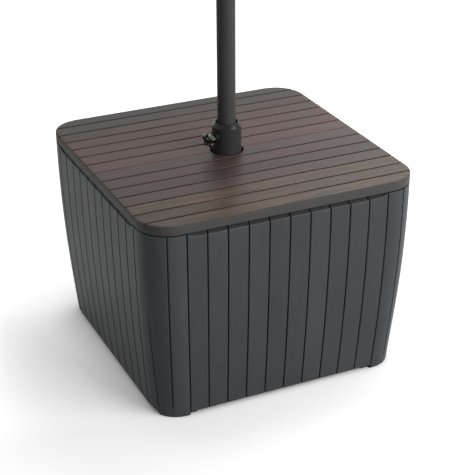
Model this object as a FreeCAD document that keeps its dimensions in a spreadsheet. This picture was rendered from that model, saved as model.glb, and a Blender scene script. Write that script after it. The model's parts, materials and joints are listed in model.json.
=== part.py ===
import FreeCAD, Part
import Sketcher
import os

# Square garden table of moulded resin that hides a parasol stand. Millimetres, +Z up.
# The origin is the centre of the table on the floor. -Y is the front, -X is the left side.

doc = FreeCAD.newDocument("parasol_table")
sheet = doc.addObject("Spreadsheet::Sheet", "dims")

DRIVING = {
    # Whole table
    "table_width": 616,
    "table_height": 460,
    "corner_radius": 68,
    "side_inset": 24.6,
    # Boards of the top and slats of the walls
    "slat_count": 12,
    "corner_strip": 37.5,
    "slat_narrowing": 0.038,
    "groove_width": 2,
    "groove_apex": 212,
    # Half tops
    "rim_height": 21,
    "rim_wall": 12,
    "rim_round": 2,
    "top_skin": 8,
    "board_groove_depth": 2.5,
    "seam_gap": 2,
    "hole_gap": 4.5,
    "hole_wall": 8,
    "rib_width": 5,
    "rib_count": 3,
    "tab_length": 300,
    "tab_drop": 8,
    "tab_gap": 1,
    # Side panels and corner posts
    "skin_depth": 3,
    "panel_wall": 7.8,
    "post_wall": 8,
    "lap_wall": 4,
    "lap_width": 16,
    "joint_gap": 0.6,
    "shadow_gap": 2,
    "panel_lift": 8.5,
    "post_lift": 0.3,
    "post_groove_start": 22,
    "side_groove_top": 260,
    "ledge_height": 20,
    "ledge_depth": 16,
    "ledge_end_gap": 2,
    "recess_height": 10.5,
    "recess_depth": 9,
    "recess_slope": 3,
    "recess_end_gap": 2,
    "recess_end_slant": 28,
    # Feet and floor tray
    "pad_height": 4,
    "pad_radius": 20,
    "pad_stem_radius": 5,
    "pad_inset": 60,
    "gusset_thickness": 8,
    "gusset_reach": 110,
    "tray_thickness": 8,
    "tray_gap": 1,
    "tray_screw_inset": 36,
    "centre_pad_spread": 220,
    # Ballast and steel base
    "plate_width": 380,
    "plate_thickness": 6,
    "flange_radius": 75,
    "flange_thickness": 8,
    "bolt_circle_radius": 55,
    "bolt_radius": 5,
    "bolt_clearance": 0.1,
    "bolt_head_radius": 9.8,
    "bolt_head_height": 6.5,
    "nut_height": 8,
    "bolt_tail": 1,
    "ballast_thickness": 40,
    "ballast_gap": 6,
    "ballast_margin": 3,
    "ballast_flange_gap": 15,
    "ballast_round": 14,
    # Stand tube, sleeve and guides
    "pole_gap": 4,
    "tube_wall": 3.5,
    "sleeve_wall": 4.5,
    "sleeve_rise": 65.5,
    "sleeve_shoulder": 8,
    "sleeve_lip": 6,
    "sleeve_edge": 1,
    "bush_height": 36,
    "lower_bush_start": 70,
    "guide_clearance": 0.05,
    "seat_thickness": 4,
    # Seam rails that carry the inner edges of the half tops
    "rail_width": 40,
    "rail_height": 30,
    "rail_wall": 3,
    "rail_tube_gap": 3,
    "rail_end_gap": 1,
    "rail_plate_thickness": 6,
    "rail_plate_length": 130,
    "rail_plate_width": 80,
    "rail_screw_inset": 12,
    "hanger_thickness": 3,
    "hanger_width": 36,
    "hanger_drop": 34,
    "hanger_reach": 38,
    "hanger_gap": 0.5,
    "hanger_screw_drop": 22,
    "hanger_screw_spread": 20,
    # Screws
    "screw_radius": 2,
    "screw_head_radius": 4,
    "screw_head_height": 2.5,
    "screw_clearance": 0.05,
    "screw_spot_depth": 1,
    "screw_spot_clearance": 0.5,
    "screw_bite": 5,
    "screw_rows": 3,
    # Clamp screw
    "clamp_turn": 201.5,
    "clamp_rise": 38,
    "boss_radius": 10,
    "boss_sink": 0.5,
    "boss_length": 14,
    "stud_radius": 4,
    "stud_clearance": 0.05,
    "stud_nose_radius": 2.5,
    "stud_grip": 9,
    "presser_radius": 6,
    "presser_thickness": 2.5,
    "presser_pole_gap": 0.3,
    "presser_stud_gap": 0.3,
    "presser_socket": 1.5,
    "knob_radius": 18,
    "knob_thickness": 13,
    "knob_boss_gap": 1,
    "knob_hub_radius": 8,
    "knob_hub_length": 5.5,
    "knob_bevel": 3,
    "knob_scallop_radius": 7,
    "knob_scallop_depth": 4,
    "knob_lobes": 5,
    # Parasol pole
    "pole_radius": 20,
    "pole_wall": 1.5,
    "pole_rise": 430,
    "plug_flange": 4,
    "plug_stem": 30,
    "socket_depth": 60,
    "socket_step": 0.2,
    "stop_gap": 1,
    "stop_thickness": 12,
    "ferrule_height": 14,
    "ferrule_wall": 2,
}

for row, (alias, number) in enumerate(DRIVING.items(), 1):
    sheet.set("A%d" % row, alias)
    sheet.set("B%d" % row, str(number))
    sheet.setAlias("B%d" % row, alias)
doc.recompute()

# Derived sizes, as expressions of the sheet
HALF = "(dims.table_width / 2)"
FOOT_HALF = "(%s - dims.side_inset)" % HALF
WALL_TOP = "(dims.table_height - dims.rim_height)"
ARC_RADIUS = "((%s ^ 2 + dims.side_inset ^ 2) / (2 * dims.side_inset))" % WALL_TOP
# Grooves are a middle pitch apart at the middle of a side and draw closer towards its ends
HALF_STEPS = "(dims.slat_count / 2)"
MEAN_PITCH = "((%s - dims.corner_strip) / %s)" % (HALF, HALF_STEPS)
MIDDLE_PITCH = "(%s + dims.slat_narrowing * %s ^ 2)" % (MEAN_PITCH, HALF_STEPS)
FAN_REACH = "(dims.groove_apex + %s)" % HALF
JOINT_STEP = "(%s - 1)" % HALF_STEPS
JOINT_AT = "(%s * %s - dims.slat_narrowing * %s ^ 3)" % (JOINT_STEP, MIDDLE_PITCH, JOINT_STEP)
LAP_DEPTH = "(dims.post_wall + dims.lap_wall)"
LEDGE_INNER = "(%s - dims.panel_wall - dims.ledge_depth)" % HALF
LAP_START = "(%s - dims.lap_width)" % JOINT_AT
LEDGE_END = "(%s * (%s - %s) / %s - dims.ledge_end_gap)" % (LAP_START, FAN_REACH, LAP_DEPTH, FAN_REACH)
TRAY_FLOOR = "(dims.pad_height + dims.gusset_thickness)"
TRAY_HALF = "(%s - %s - dims.tray_gap)" % (FOOT_HALF, LAP_DEPTH)
PLATE_FLOOR = "(%s + dims.tray_thickness)" % TRAY_FLOOR
PLATE_TOP = "(%s + dims.plate_thickness)" % PLATE_FLOOR
FLANGE_TOP = "(%s + dims.flange_thickness)" % PLATE_TOP
TUBE_BORE = "(dims.pole_radius + dims.pole_gap)"
TUBE_OUTER = "(%s + dims.tube_wall)" % TUBE_BORE
SLEEVE_OUTER = "(%s + dims.sleeve_wall)" % TUBE_OUTER
HOLE_RADIUS = "(%s + dims.hole_gap)" % SLEEVE_OUTER
SLEEVE_TOP = "(dims.table_height + dims.sleeve_rise)"
TUBE_TOP = "(%s - dims.sleeve_lip)" % SLEEVE_TOP
RAIL_FLOOR = "(%s - dims.rail_height)" % WALL_TOP
RAIL_START = "(%s + dims.rail_tube_gap)" % SLEEVE_OUTER
RAIL_END = "(%s - dims.rail_end_gap)" % LEDGE_INNER
POLE_FOOT = "(%s + dims.seat_thickness)" % PLATE_TOP
POLE_TOP = "(dims.table_height + dims.pole_rise)"
POLE_BORE = "(dims.pole_radius - dims.pole_wall)"
SCREW_HOLE = "(dims.screw_radius + dims.screw_clearance)"

UP = FreeCAD.Vector(0, 0, 1)
FACING_FRONT = FreeCAD.Rotation(FreeCAD.Vector(1, 0, 0), -90)
UPSIDE_DOWN = FreeCAD.Rotation(FreeCAD.Vector(1, 0, 0), 180)
SIDES = {"front": 0, "right": 90, "rear": 180, "left": 270}
CORNERS = {"front_left": 0, "front_right": 90, "rear_right": 180, "rear_left": 270}
# How far a cutting block stands past what it cuts, and how deep the wall cutters reach
MARGIN = "10"
CUTTER_DEPTH = "60"
nodes = []


def value(expression):
    """Number that an expression of the sheet gives."""
    return float(sheet.evalExpression(expression))


def groove_at(step):
    """Distance of a groove from the middle of a side at the rim; step counts grooves from the middle."""
    return "(%d * %s - dims.slat_narrowing * %d)" % (step, MIDDLE_PITCH, step ** 3)


def wall_at(height):
    """Half width of the walls' outer face at a height."""
    return "(%s - %s + sqrt(%s ^ 2 - (%s - %s) ^ 2))" % (HALF, ARC_RADIUS, ARC_RADIUS, WALL_TOP, height)


def bind(item, sizes):
    """Bind properties of an object to expressions."""
    for name, expression in sizes.items():
        item.setExpression(name, expression)
    return item


def place(item, x, y, z, rotation=None):
    """Bind an object's position, after an optional turn."""
    if rotation:
        item.Placement = FreeCAD.Placement(FreeCAD.Vector(), rotation)
    return bind(item, {"Placement.Base.x": x, "Placement.Base.y": y, "Placement.Base.z": z})


def turn(item, angle):
    """Turn an object about the table's upright axis."""
    item.Placement = FreeCAD.Placement(FreeCAD.Vector(), FreeCAD.Rotation(UP, angle))
    return item


def node(item, label):
    """Name a finished piece."""
    item.Label = label
    nodes.append(item)
    return item


def box(name, sizes, corner):
    """Block with bound sizes and lowest corner."""
    item = doc.addObject("Part::Box", name)
    bind(item, dict(zip(("Length", "Width", "Height"), sizes)))
    return place(item, *corner)


def centred_box(name, length, width, height, floor):
    """Block centred on the upright axis."""
    return box(name, (length, width, height), ("-(%s) / 2" % length, "-(%s) / 2" % width, floor))


def cylinder(name, radius, height, x="0", y="0", z="0", rotation=None):
    """Round bar, upright unless it is turned."""
    item = bind(doc.addObject("Part::Cylinder", name), {"Radius": radius, "Height": height})
    return place(item, x, y, z, rotation)


def hexagon(name, radius, height, x, y, z):
    """Upright six-sided prism."""
    item = doc.addObject("Part::Prism", name)
    item.Polygon = 6
    bind(item, {"Circumradius": radius, "Height": height})
    return place(item, x, y, z)


def fuse(name, *shapes):
    """Several shapes joined into one."""
    item = doc.addObject("Part::MultiFuse", name)
    item.Shapes = list(shapes)
    item.Refine = True
    return item


def common(name, *shapes):
    """What several shapes share."""
    item = doc.addObject("Part::MultiCommon", name)
    item.Shapes = list(shapes)
    item.Refine = True
    return item


def cut(name, base, *tools):
    """Base with the tools taken away."""
    item = doc.addObject("Part::Cut", name)
    item.Base = base
    item.Tool = tools[0] if len(tools) == 1 else fuse(name + "_tools", *tools)
    item.Refine = True
    return item


def group(name, shapes):
    """Separate solids kept as one piece."""
    item = doc.addObject("Part::Compound", name)
    item.Links = list(shapes)
    return item


def rounded(name, base, radius, chosen):
    """Base with the chosen edges rounded."""
    doc.recompute()
    item = doc.addObject("Part::Fillet", name)
    item.Base = base
    size = value(radius)
    item.Edges = [(number, size, size) for number, edge in enumerate(base.Shape.Edges, 1) if chosen(edge)]
    return item


def is_upright(edge):
    """True for an edge that climbs much more than it runs across."""
    limits = edge.BoundBox
    return limits.ZLength > 4 * max(limits.XLength, limits.YLength, 0.1)


def pin_point(sketch, line, expression, direction, axis):
    """Fix the start of one line of a sketch by a bound distance from an axis."""
    size = value(expression)
    if abs(size) < 1e-9:
        sketch.addConstraint(Sketcher.Constraint("PointOnObject", line, 1, axis))
        return
    index = sketch.addConstraint(Sketcher.Constraint("Distance" + direction, -1, 1, line, 1, size))
    sketch.setExpression("Constraints[%d]" % index, expression)


def new_sketch(body, name, plane_role):
    """Sketch on one of a body's own origin planes."""
    sketch = body.newObject("Sketcher::SketchObject", name)
    plane = [item for item in body.Origin.OriginFeatures if item.Role == plane_role][0]
    sketch.AttachmentSupport = [(plane, "")]
    sketch.MapMode = "FlatFace"
    return sketch


def turned(name, outline):
    """Body turned about its own Z axis from a closed outline of (radius, height) expressions."""
    body = doc.addObject("PartDesign::Body", name)
    sketch = new_sketch(body, name + "_outline", "XZ_Plane")
    points = [FreeCAD.Vector(value(radius), value(height), 0) for radius, height in outline]
    for line, point in enumerate(points):
        sketch.addGeometry(Part.LineSegment(point, points[(line + 1) % len(points)]))
    for line, (radius, height) in enumerate(outline):
        before = (line - 1) % len(points)
        sketch.addConstraint(Sketcher.Constraint("Coincident", before, 2, line, 1))
        pin_point(sketch, line, radius, "X", -2)
        pin_point(sketch, line, height, "Y", -1)
    solid = body.newObject("PartDesign::Revolution", name + "_turn")
    solid.Profile = sketch
    solid.ReferenceAxis = (sketch, ["V_Axis"])
    solid.Angle = 360
    body.Tip = solid
    return body


def ring(name, bore, radius, floor, top):
    """Plain turned ring."""
    return turned(name, [(bore, floor), (radius, floor), (radius, top), (bore, top)])


def disc(name, radius, floor, top):
    """Plain turned disc."""
    return turned(name, [("0", floor), (radius, floor), (radius, top), ("0", top)])


def screw(name, length, x, y, z, rotation=None):
    """Pan head screw along its own Z axis, its head above the seat and its shank below."""
    head = cylinder(name + "_head", "dims.screw_head_radius", "dims.screw_head_height")
    shank = cylinder(name + "_shank", "dims.screw_radius", length, z="-(%s)" % length)
    return place(fuse(name, head, shank), x, y, z, rotation)


# Curved wall forms

def side_drum(name, depth, angle):
    """Very wide lying cylinder whose surface is one wall's curved face, set in by a depth."""
    heading = FreeCAD.Rotation(UP, angle)
    along = heading.multVec(FreeCAD.Vector(1, 0, 0))
    inward = heading.multVec(FreeCAD.Vector(0, 1, 0))
    lying = heading.multiply(FreeCAD.Rotation(FreeCAD.Vector(0, 1, 0), 90))
    start = "%d * (%s - %s) - %d * 1.5 * dims.table_width"
    x = start % (round(inward.x), ARC_RADIUS, HALF, round(along.x))
    y = start % (round(inward.y), ARC_RADIUS, HALF, round(along.y))
    return cylinder(name, "%s - %s" % (ARC_RADIUS, depth), "3 * dims.table_width", x, y, WALL_TOP, lying)


def wall_form(name, depth, top):
    """Solid bounded by the four wall faces set in by a depth, with rounded upright corners."""
    block = centred_box(name + "_block", "dims.table_width", "dims.table_width", top, "0")
    drums = [side_drum("%s_drum_%s" % (name, side), depth, angle) for side, angle in SIDES.items()]
    square = common(name + "_square", block, *drums)
    return rounded(name, square, "dims.corner_radius - %s" % depth, is_upright)


def fan_wedge(name, half_width, floor, angle=0):
    """Upright wedge between the groove planes that meet the rim half_width from the middle of a side."""
    item = doc.addObject("Part::Wedge", name)
    outer = "(%s * (%s + %s) / %s)" % (half_width, FAN_REACH, MARGIN, FAN_REACH)
    inner = "(%s * (%s - %s) / %s)" % (half_width, FAN_REACH, CUTTER_DEPTH, FAN_REACH)
    bind(item, {
        "Ymin": "-%s - %s" % (HALF, MARGIN),
        "Ymax": "-%s + %s" % (HALF, CUTTER_DEPTH),
        "Xmin": "-" + outer,
        "Xmax": outer,
        "X2min": "-" + inner,
        "X2max": inner,
        "Zmin": floor,
        "Z2min": floor,
        "Zmax": WALL_TOP,
        "Z2max": WALL_TOP,
    })
    return turn(item, angle)


def groove_slot(name, step, floor, top=WALL_TOP):
    """Upright slot in the plane of one groove of the front; step counts grooves from the middle."""
    lean = "atan(%s / %s)" % (groove_at(step), FAN_REACH)
    reach = "(1.2 * %s)" % FAN_REACH
    item = doc.addObject("Part::Box", name)
    bind(item, {"Length": reach, "Width": "dims.groove_width", "Height": "%s - %s" % (top, floor)})
    turn(item, 90).setExpression("Placement.Rotation.Angle", "90 deg + " + lean)
    across = "dims.groove_width / 2 * cos(%s)" % lean
    aside = "dims.groove_width / 2 * sin(%s)" % lean
    x = "%s * sin(%s) + %s" % (reach, lean, across)
    y = "dims.groove_apex - %s * cos(%s) + %s" % (reach, lean, aside)
    return place(item, x, y, floor)


outer_form = wall_form("outer_form", "0", "%s - dims.shadow_gap" % WALL_TOP)
groove_form = wall_form("groove_form", "dims.skin_depth", WALL_TOP)
panel_form = wall_form("panel_form", "dims.panel_wall", WALL_TOP)
post_form = wall_form("post_form", "dims.post_wall", WALL_TOP)
lap_form = wall_form("lap_form", LAP_DEPTH, WALL_TOP)
slat_skin = cut("slat_skin", outer_form, groove_form)


# Screws between the corner posts and the side panels, placed on the front

def wall_screw_spot(edge, row):
    """Seat of one wall screw on the front, edge -1 left or 1 right: its x, its y and its height."""
    share = "%d / (2 * dims.screw_rows)" % (2 * row + 1)
    height = "(dims.panel_lift + (%s - dims.panel_lift) * %s)" % (WALL_TOP, share)
    wall = wall_at(height)
    x = "%d * (%s - dims.lap_width / 2) * (dims.groove_apex + %s) / %s" % (edge, JOINT_AT, wall, FAN_REACH)
    y = "-(%s - %s + dims.screw_spot_depth)" % (wall, LAP_DEPTH)
    return x, y, height


def wall_screw_holes(name, radius, length, edges):
    """Holes that run outwards from the seats of the wall screws."""
    holes = []
    for edge in edges:
        for row in range(SCREW_ROWS):
            x, y, height = wall_screw_spot(edge, row)
            start = "%s - (%s)" % (y, length)
            hole_name = "%s_%d_%d" % (name, edge + 1, row)
            holes.append(cylinder(hole_name, radius, length, x, start, height, FACING_FRONT))
    return holes


SCREW_ROWS = int(value("dims.screw_rows"))
WALL_SCREW_LENGTH = ("(dims.lap_wall - dims.screw_spot_depth + dims.post_wall - dims.panel_wall"
                     " + dims.screw_bite)")
spots = [wall_screw_spot(edge, row) for edge in (-1, 1) for row in range(SCREW_ROWS)]
front_screws = [screw("wall_screw_%d" % count, WALL_SCREW_LENGTH, *spot, FACING_FRONT)
                for count, spot in enumerate(spots)]
screw_rows = [turn(group("wall_screws_" + side, front_screws), angle) for side, angle in SIDES.items()]
node(group("panel_screws", screw_rows), "panel_screws")


# Side panels

half_steps = int(value(HALF_STEPS))
panel_slots = [groove_slot("panel_slot_%d" % (step + half_steps), step, "0")
               for step in range(1 - half_steps, half_steps)]
panel_wedge = fan_wedge("panel_wedge", "(%s - dims.joint_gap / 2)" % JOINT_AT, "dims.panel_lift")
panel_skin = cut("panel_skin", common("panel_face", slat_skin, panel_wedge), *panel_slots)
panel_back = common("panel_back", cut("panel_shell", groove_form, panel_form), panel_wedge)
ledge_root = "(%s - dims.skin_depth)" % HALF
panel_ledge = common(
    "panel_ledge", groove_form,
    box("ledge_block", ("2 * %s" % LEDGE_END, "%s - %s" % (ledge_root, LEDGE_INNER), "dims.ledge_height"),
        ("-" + LEDGE_END, "-" + ledge_root, "%s - dims.ledge_height" % WALL_TOP)))
panel_solid = fuse("panel_solid", panel_skin, panel_back, panel_ledge)
panel_blank = cut("panel_blank", panel_solid,
                  *wall_screw_holes("panel_pilot", "dims.screw_radius", WALL_SCREW_LENGTH, (-1, 1)))


def finger_recess(name, sink):
    """Lying wedge of room under the rim, longer and deeper at its top, sunk further in by a distance."""
    item = doc.addObject("Part::Wedge", name)
    end = "(%s - dims.recess_end_gap)" % LEDGE_END
    low_end = "(%s - dims.recess_end_slant)" % end
    bind(item, {
        "Ymin": "0",
        "Ymax": "dims.recess_height",
        "Xmin": "-" + low_end,
        "Xmax": low_end,
        "X2min": "-" + end,
        "X2max": end,
        "Zmin": "dims.recess_slope",
        "Z2min": "0",
        "Zmax": "dims.recess_depth + " + MARGIN,
        "Z2max": "dims.recess_depth + " + MARGIN,
    })
    return place(item, "0", "-(%s - dims.recess_depth - %s)" % (HALF, sink),
                 "%s - dims.recess_height" % WALL_TOP, FreeCAD.Rotation(FreeCAD.Vector(1, 0, 0), 90))


# The grooves run on up the back of the recess
recess_grooves = common("recess_grooves", finger_recess("groove_room", "dims.skin_depth"),
                        fuse("groove_slots", *panel_slots))
recess_cuts = [finger_recess("finger_recess", "0"), recess_grooves]

# Hangers that carry the outer ends of the seam rails, placed on the front
HANGER_FACE = "(%s - dims.panel_wall - dims.hanger_gap)" % wall_at("(%s - dims.hanger_drop)" % RAIL_FLOOR)
hanger_screw_height = "(%s - dims.hanger_screw_drop)" % RAIL_FLOOR
hanger_screw_length = "(dims.hanger_thickness + %s - dims.panel_wall - %s + dims.screw_bite)" % (
    wall_at(hanger_screw_height), HANGER_FACE)
hanger_seat = "-(%s - dims.hanger_thickness)" % HANGER_FACE
hanger_screw_ends = ("-dims.hanger_screw_spread / 2", "dims.hanger_screw_spread / 2")
hanger_pilots = [
    cylinder("hanger_pilot_%d" % count, "dims.screw_radius", hanger_screw_length, x,
             "%s - %s" % (hanger_seat, hanger_screw_length), hanger_screw_height, FACING_FRONT)
    for count, x in enumerate(hanger_screw_ends)]

for side, angle in SIDES.items():
    carries_rail = side in ("left", "right")
    tools = recess_cuts + hanger_pilots if carries_rail else recess_cuts
    node(turn(cut("panel_" + side, panel_blank, *tools), angle), "side_panel_" + side)


# Corner posts: the rounded corner, with a long groove on its front or rear side and a short one on its
# left or right side, laps behind the panels and a gusset over the foot. Posts across a diagonal are
# alike, and the other two are their mirror image.

quarter = box("post_quarter", ["%s + %s" % (HALF, MARGIN)] * 2 + ["%s - dims.post_lift" % WALL_TOP],
              ["-(%s + %s)" % (HALF, MARGIN)] * 2 + ["dims.post_lift"])
wide_half = "(%s + dims.joint_gap / 2)" % JOINT_AT
panel_rooms = [fan_wedge("panel_room_%d" % angle, wide_half, "0", angle) for angle in (0, 270)]
lap_rooms = [fan_wedge("lap_room_%d" % angle, LAP_START, "0", angle) for angle in (0, 270)]
left_joint = groove_slot("left_joint", 1 - half_steps, "0")
left_long = groove_slot("left_long", -half_steps, "dims.post_groove_start")
left_short = groove_slot("left_short", -half_steps, "dims.post_groove_start", "dims.side_groove_top")
right_joint = groove_slot("right_joint", half_steps - 1, "0")
right_long = groove_slot("right_long", half_steps, "dims.post_groove_start")
right_short = groove_slot("right_short", half_steps, "dims.post_groove_start", "dims.side_groove_top")
post_slots = {
    0: [left_joint, left_long, turn(group("joint_and_short", [right_joint, right_short]), 270)],
    90: [left_joint, left_short, turn(group("joint_and_long", [right_joint, right_long]), 270)],
}
post_face = common("post_face", slat_skin, quarter)
post_shell = common("post_shell", cut("post_back_ring", groove_form, post_form), quarter)
lap_shell = common("lap_shell", cut("lap_ring", post_form, lap_form), quarter)
post_back = cut("post_back", post_shell, *panel_rooms)
post_lap = cut("post_lap", lap_shell, *lap_rooms)

# The gusset fills the corner as far as a diagonal face
corner_tip = "((%s - dims.corner_radius) * sqrt(2) + dims.corner_radius - dims.post_wall)" % FOOT_HALF
gusset_face = "(%s - dims.gusset_reach)" % corner_tip
diagonal = doc.addObject("Part::Box", "gusset_diagonal")
bind(diagonal, {
    "Length": "dims.table_width",
    "Width": "dims.table_width",
    "Height": "dims.gusset_thickness",
})
turn(diagonal, 225)
diagonal_x = "-(%s + %s) * sqrt(0.5)" % (gusset_face, HALF)
diagonal_y = "(%s - %s) * sqrt(0.5)" % (HALF, gusset_face)
place(diagonal, diagonal_x, diagonal_y, "dims.pad_height")
gusset = common("gusset", post_form, quarter, diagonal)
PAD_AT = "-(%s - dims.pad_inset)" % FOOT_HALF
TRAY_SCREW_AT = "-(%s - dims.tray_screw_inset)" % FOOT_HALF
pad_stem_hole = cylinder("pad_stem_hole", "dims.pad_stem_radius", TRAY_FLOOR, PAD_AT, PAD_AT)
tray_screw_hole = cylinder("tray_screw_hole", SCREW_HOLE, PLATE_FLOOR, TRAY_SCREW_AT, TRAY_SCREW_AT)
lap_hole_length = "(dims.lap_wall + dims.post_wall - dims.panel_wall)"
spot_radius = "(dims.screw_head_radius + dims.screw_spot_clearance)"


def lap_screw_cuts(name, edge):
    """Clearance holes and flat seats of the wall screws at one edge of the front."""
    cuts = wall_screw_holes(name, SCREW_HOLE, lap_hole_length, (edge,))
    for row in range(SCREW_ROWS):
        x, y, height = wall_screw_spot(edge, row)
        cuts.append(cylinder("%s_seat_%d" % (name, row), spot_radius, MARGIN, x, y, height, FACING_FRONT))
    return cuts


post_solids = {}
for kind, slots in post_slots.items():
    post_skin = cut("post_skin_%d" % kind, post_face, *panel_rooms, *slots)
    post_solids[kind] = fuse("post_solid_%d" % kind, post_skin, post_back, post_lap, gusset)
post_cuts = lap_screw_cuts("lap_cut_left", -1)
post_cuts.append(turn(fuse("lap_cuts_turned", *lap_screw_cuts("lap_cut_right", 1)), 270))
for corner, angle in CORNERS.items():
    post = cut("post_" + corner, post_solids[angle % 180], *post_cuts, pad_stem_hole, tray_screw_hole)
    node(turn(post, angle), "corner_post_" + corner)


# Feet, floor tray and its screws

def four_times(name, item):
    """One corner's piece repeated at the four corners, as separate solids."""
    copies = [turn(group("%s_%s" % (name, corner), [item]), angle) for corner, angle in CORNERS.items()]
    return group(name, copies)


foot_pad = fuse("foot_pad", cylinder("foot_disc", "dims.pad_radius", "dims.pad_height", PAD_AT, PAD_AT),
                cylinder("foot_stem", "dims.pad_stem_radius", TRAY_FLOOR, PAD_AT, PAD_AT))
node(four_times("foot_pads", foot_pad), "foot_pads")

CENTRE_PAD_AT = "-(dims.centre_pad_spread / 2)"
centre_pad = fuse("centre_pad",
                  cylinder("centre_disc", "dims.pad_radius", TRAY_FLOOR, CENTRE_PAD_AT, CENTRE_PAD_AT),
                  cylinder("centre_stem", "dims.pad_stem_radius", PLATE_FLOOR, CENTRE_PAD_AT, CENTRE_PAD_AT))
node(four_times("centre_pads", centre_pad), "centre_pads")

tray_screw_length = "(dims.tray_thickness + dims.gusset_thickness)"
tray_screw = screw("tray_screw", tray_screw_length, TRAY_SCREW_AT, TRAY_SCREW_AT, PLATE_FLOOR)
node(four_times("tray_screws", tray_screw), "tray_screws")

BOLT_AT = "-(dims.bolt_circle_radius * sqrt(0.5))"
bolt_hole = cylinder("bolt_hole", "dims.bolt_radius + dims.bolt_clearance", FLANGE_TOP, BOLT_AT, BOLT_AT)
bolt_holes = four_times("bolt_holes", bolt_hole)
tray_width = "(2 * %s)" % TRAY_HALF
tray_corner = "dims.corner_radius - %s - dims.tray_gap" % LAP_DEPTH
tray_block = centred_box("tray_block", tray_width, tray_width, "dims.tray_thickness", TRAY_FLOOR)
tray_plate = rounded("tray_plate", tray_block, tray_corner, is_upright)
stem_hole = cylinder("centre_stem_hole", "dims.pad_stem_radius", PLATE_FLOOR, CENTRE_PAD_AT, CENTRE_PAD_AT)
tray = cut("tray", tray_plate, bolt_holes, four_times("tray_screw_holes", tray_screw_hole),
           four_times("centre_stem_holes", stem_hole))
node(tray, "floor_tray")


# Steel base, ballast and bolts

plate_block = centred_box("plate_block", "dims.plate_width", "dims.plate_width", "dims.plate_thickness",
                          PLATE_FLOOR)
node(cut("plate", plate_block, bolt_holes), "base_plate")
flange_ring = ring("flange_ring", TUBE_OUTER, "dims.flange_radius", PLATE_TOP, FLANGE_TOP)
node(cut("flange", flange_ring, bolt_holes), "tube_flange")

bolt_floor = "(%s - dims.nut_height - dims.bolt_tail)" % TRAY_FLOOR
bolt_length = "%s - %s" % (FLANGE_TOP, bolt_floor)
bolt_shank = cylinder("bolt_shank", "dims.bolt_radius", bolt_length, BOLT_AT, BOLT_AT, bolt_floor)
bolt_head = hexagon("bolt_head", "dims.bolt_head_radius", "dims.bolt_head_height",
                    BOLT_AT, BOLT_AT, FLANGE_TOP)
bolt = fuse("bolt", bolt_shank, bolt_head)
node(four_times("flange_bolts", bolt), "flange_bolts")
nut_floor = "(%s - dims.nut_height)" % TRAY_FLOOR
nut_block = hexagon("nut_block", "dims.bolt_head_radius", "dims.nut_height", BOLT_AT, BOLT_AT, nut_floor)
nut = cut("nut", nut_block, cylinder("nut_bore", "dims.bolt_radius", FLANGE_TOP, BOLT_AT, BOLT_AT))
node(four_times("flange_nuts", nut), "flange_nuts")

ballast_width = "(dims.plate_width / 2 - dims.ballast_gap / 2 - dims.ballast_margin)"
ballast_start = "-(dims.plate_width / 2 - dims.ballast_margin)"
ballast_block = box("ballast_block", (ballast_width, ballast_width, "dims.ballast_thickness"),
                    (ballast_start, ballast_start, PLATE_TOP))
ballast_cut = cylinder("ballast_cut", "dims.flange_radius + dims.ballast_flange_gap",
                       "%s + dims.ballast_thickness" % PLATE_TOP)
ballast_slab = rounded("ballast_slab", ballast_block, "dims.ballast_round", is_upright)
for corner, angle in CORNERS.items():
    node(turn(cut("ballast_" + corner, ballast_slab, ballast_cut), angle), "ballast_weight_" + corner)


# Stand tube, sleeve, guides and the clamp's threaded boss

CLAMP_HEADING = FreeCAD.Rotation(UP, value("dims.clamp_turn")).multiply(
    FreeCAD.Rotation(FreeCAD.Vector(0, 1, 0), 90))
BOSS_START = "(%s - dims.boss_sink)" % TUBE_OUTER
BOSS_END = "(%s + dims.boss_length)" % BOSS_START


def on_clamp_axis(item):
    """Turn a piece's own Z axis to point outwards along the clamp screw."""
    return place(item, "0", "0", "dims.table_height + dims.clamp_rise", CLAMP_HEADING)


boss_hole = on_clamp_axis(cylinder("boss_hole", "dims.boss_radius", "dims.table_width"))
tube_pipe = ring("tube_pipe", TUBE_BORE, TUBE_OUTER, PLATE_TOP, TUBE_TOP)
node(cut("tube", tube_pipe, boss_hole), "stand_tube")
sleeve_pipe = turned("sleeve_pipe", [
    (TUBE_OUTER, RAIL_FLOOR),
    (SLEEVE_OUTER, RAIL_FLOOR),
    (SLEEVE_OUTER, "%s - dims.sleeve_shoulder" % SLEEVE_TOP),
    ("%s + dims.sleeve_edge" % TUBE_BORE, SLEEVE_TOP),
    (TUBE_BORE, SLEEVE_TOP),
    (TUBE_BORE, TUBE_TOP),
    (TUBE_OUTER, TUBE_TOP),
])
node(cut("sleeve", sleeve_pipe, boss_hole), "tube_sleeve")

GUIDE_BORE = "(dims.pole_radius + dims.guide_clearance)"
upper_bush_start = "%s - dims.bush_height" % RAIL_FLOOR
lower_bush_end = "dims.lower_bush_start + dims.bush_height"
node(ring("upper_bush", GUIDE_BORE, TUBE_BORE, upper_bush_start, RAIL_FLOOR), "upper_pole_bush")
node(ring("lower_bush", GUIDE_BORE, TUBE_BORE, "dims.lower_bush_start", lower_bush_end), "lower_pole_bush")
node(disc("seat", TUBE_BORE, PLATE_TOP, POLE_FOOT), "pole_seat")
STUD_BORE = "(dims.stud_radius + dims.stud_clearance)"
node(on_clamp_axis(ring("boss", STUD_BORE, "dims.boss_radius", BOSS_START, BOSS_END)), "clamp_boss")


# Clamp screw: pressure pad, stud and star knob

PRESSER_START = "(dims.pole_radius + dims.presser_pole_gap)"
PRESSER_END = "(%s + dims.presser_thickness)" % PRESSER_START
SOCKET_START = "(%s - dims.presser_socket)" % PRESSER_END
socket_radius = "(dims.stud_nose_radius + dims.presser_stud_gap)"
node(on_clamp_axis(turned("presser", [
    ("0", PRESSER_START),
    ("dims.presser_radius", PRESSER_START),
    ("dims.presser_radius", PRESSER_END),
    (socket_radius, PRESSER_END),
    (socket_radius, SOCKET_START),
    ("0", SOCKET_START),
])), "clamp_pad")

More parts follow.
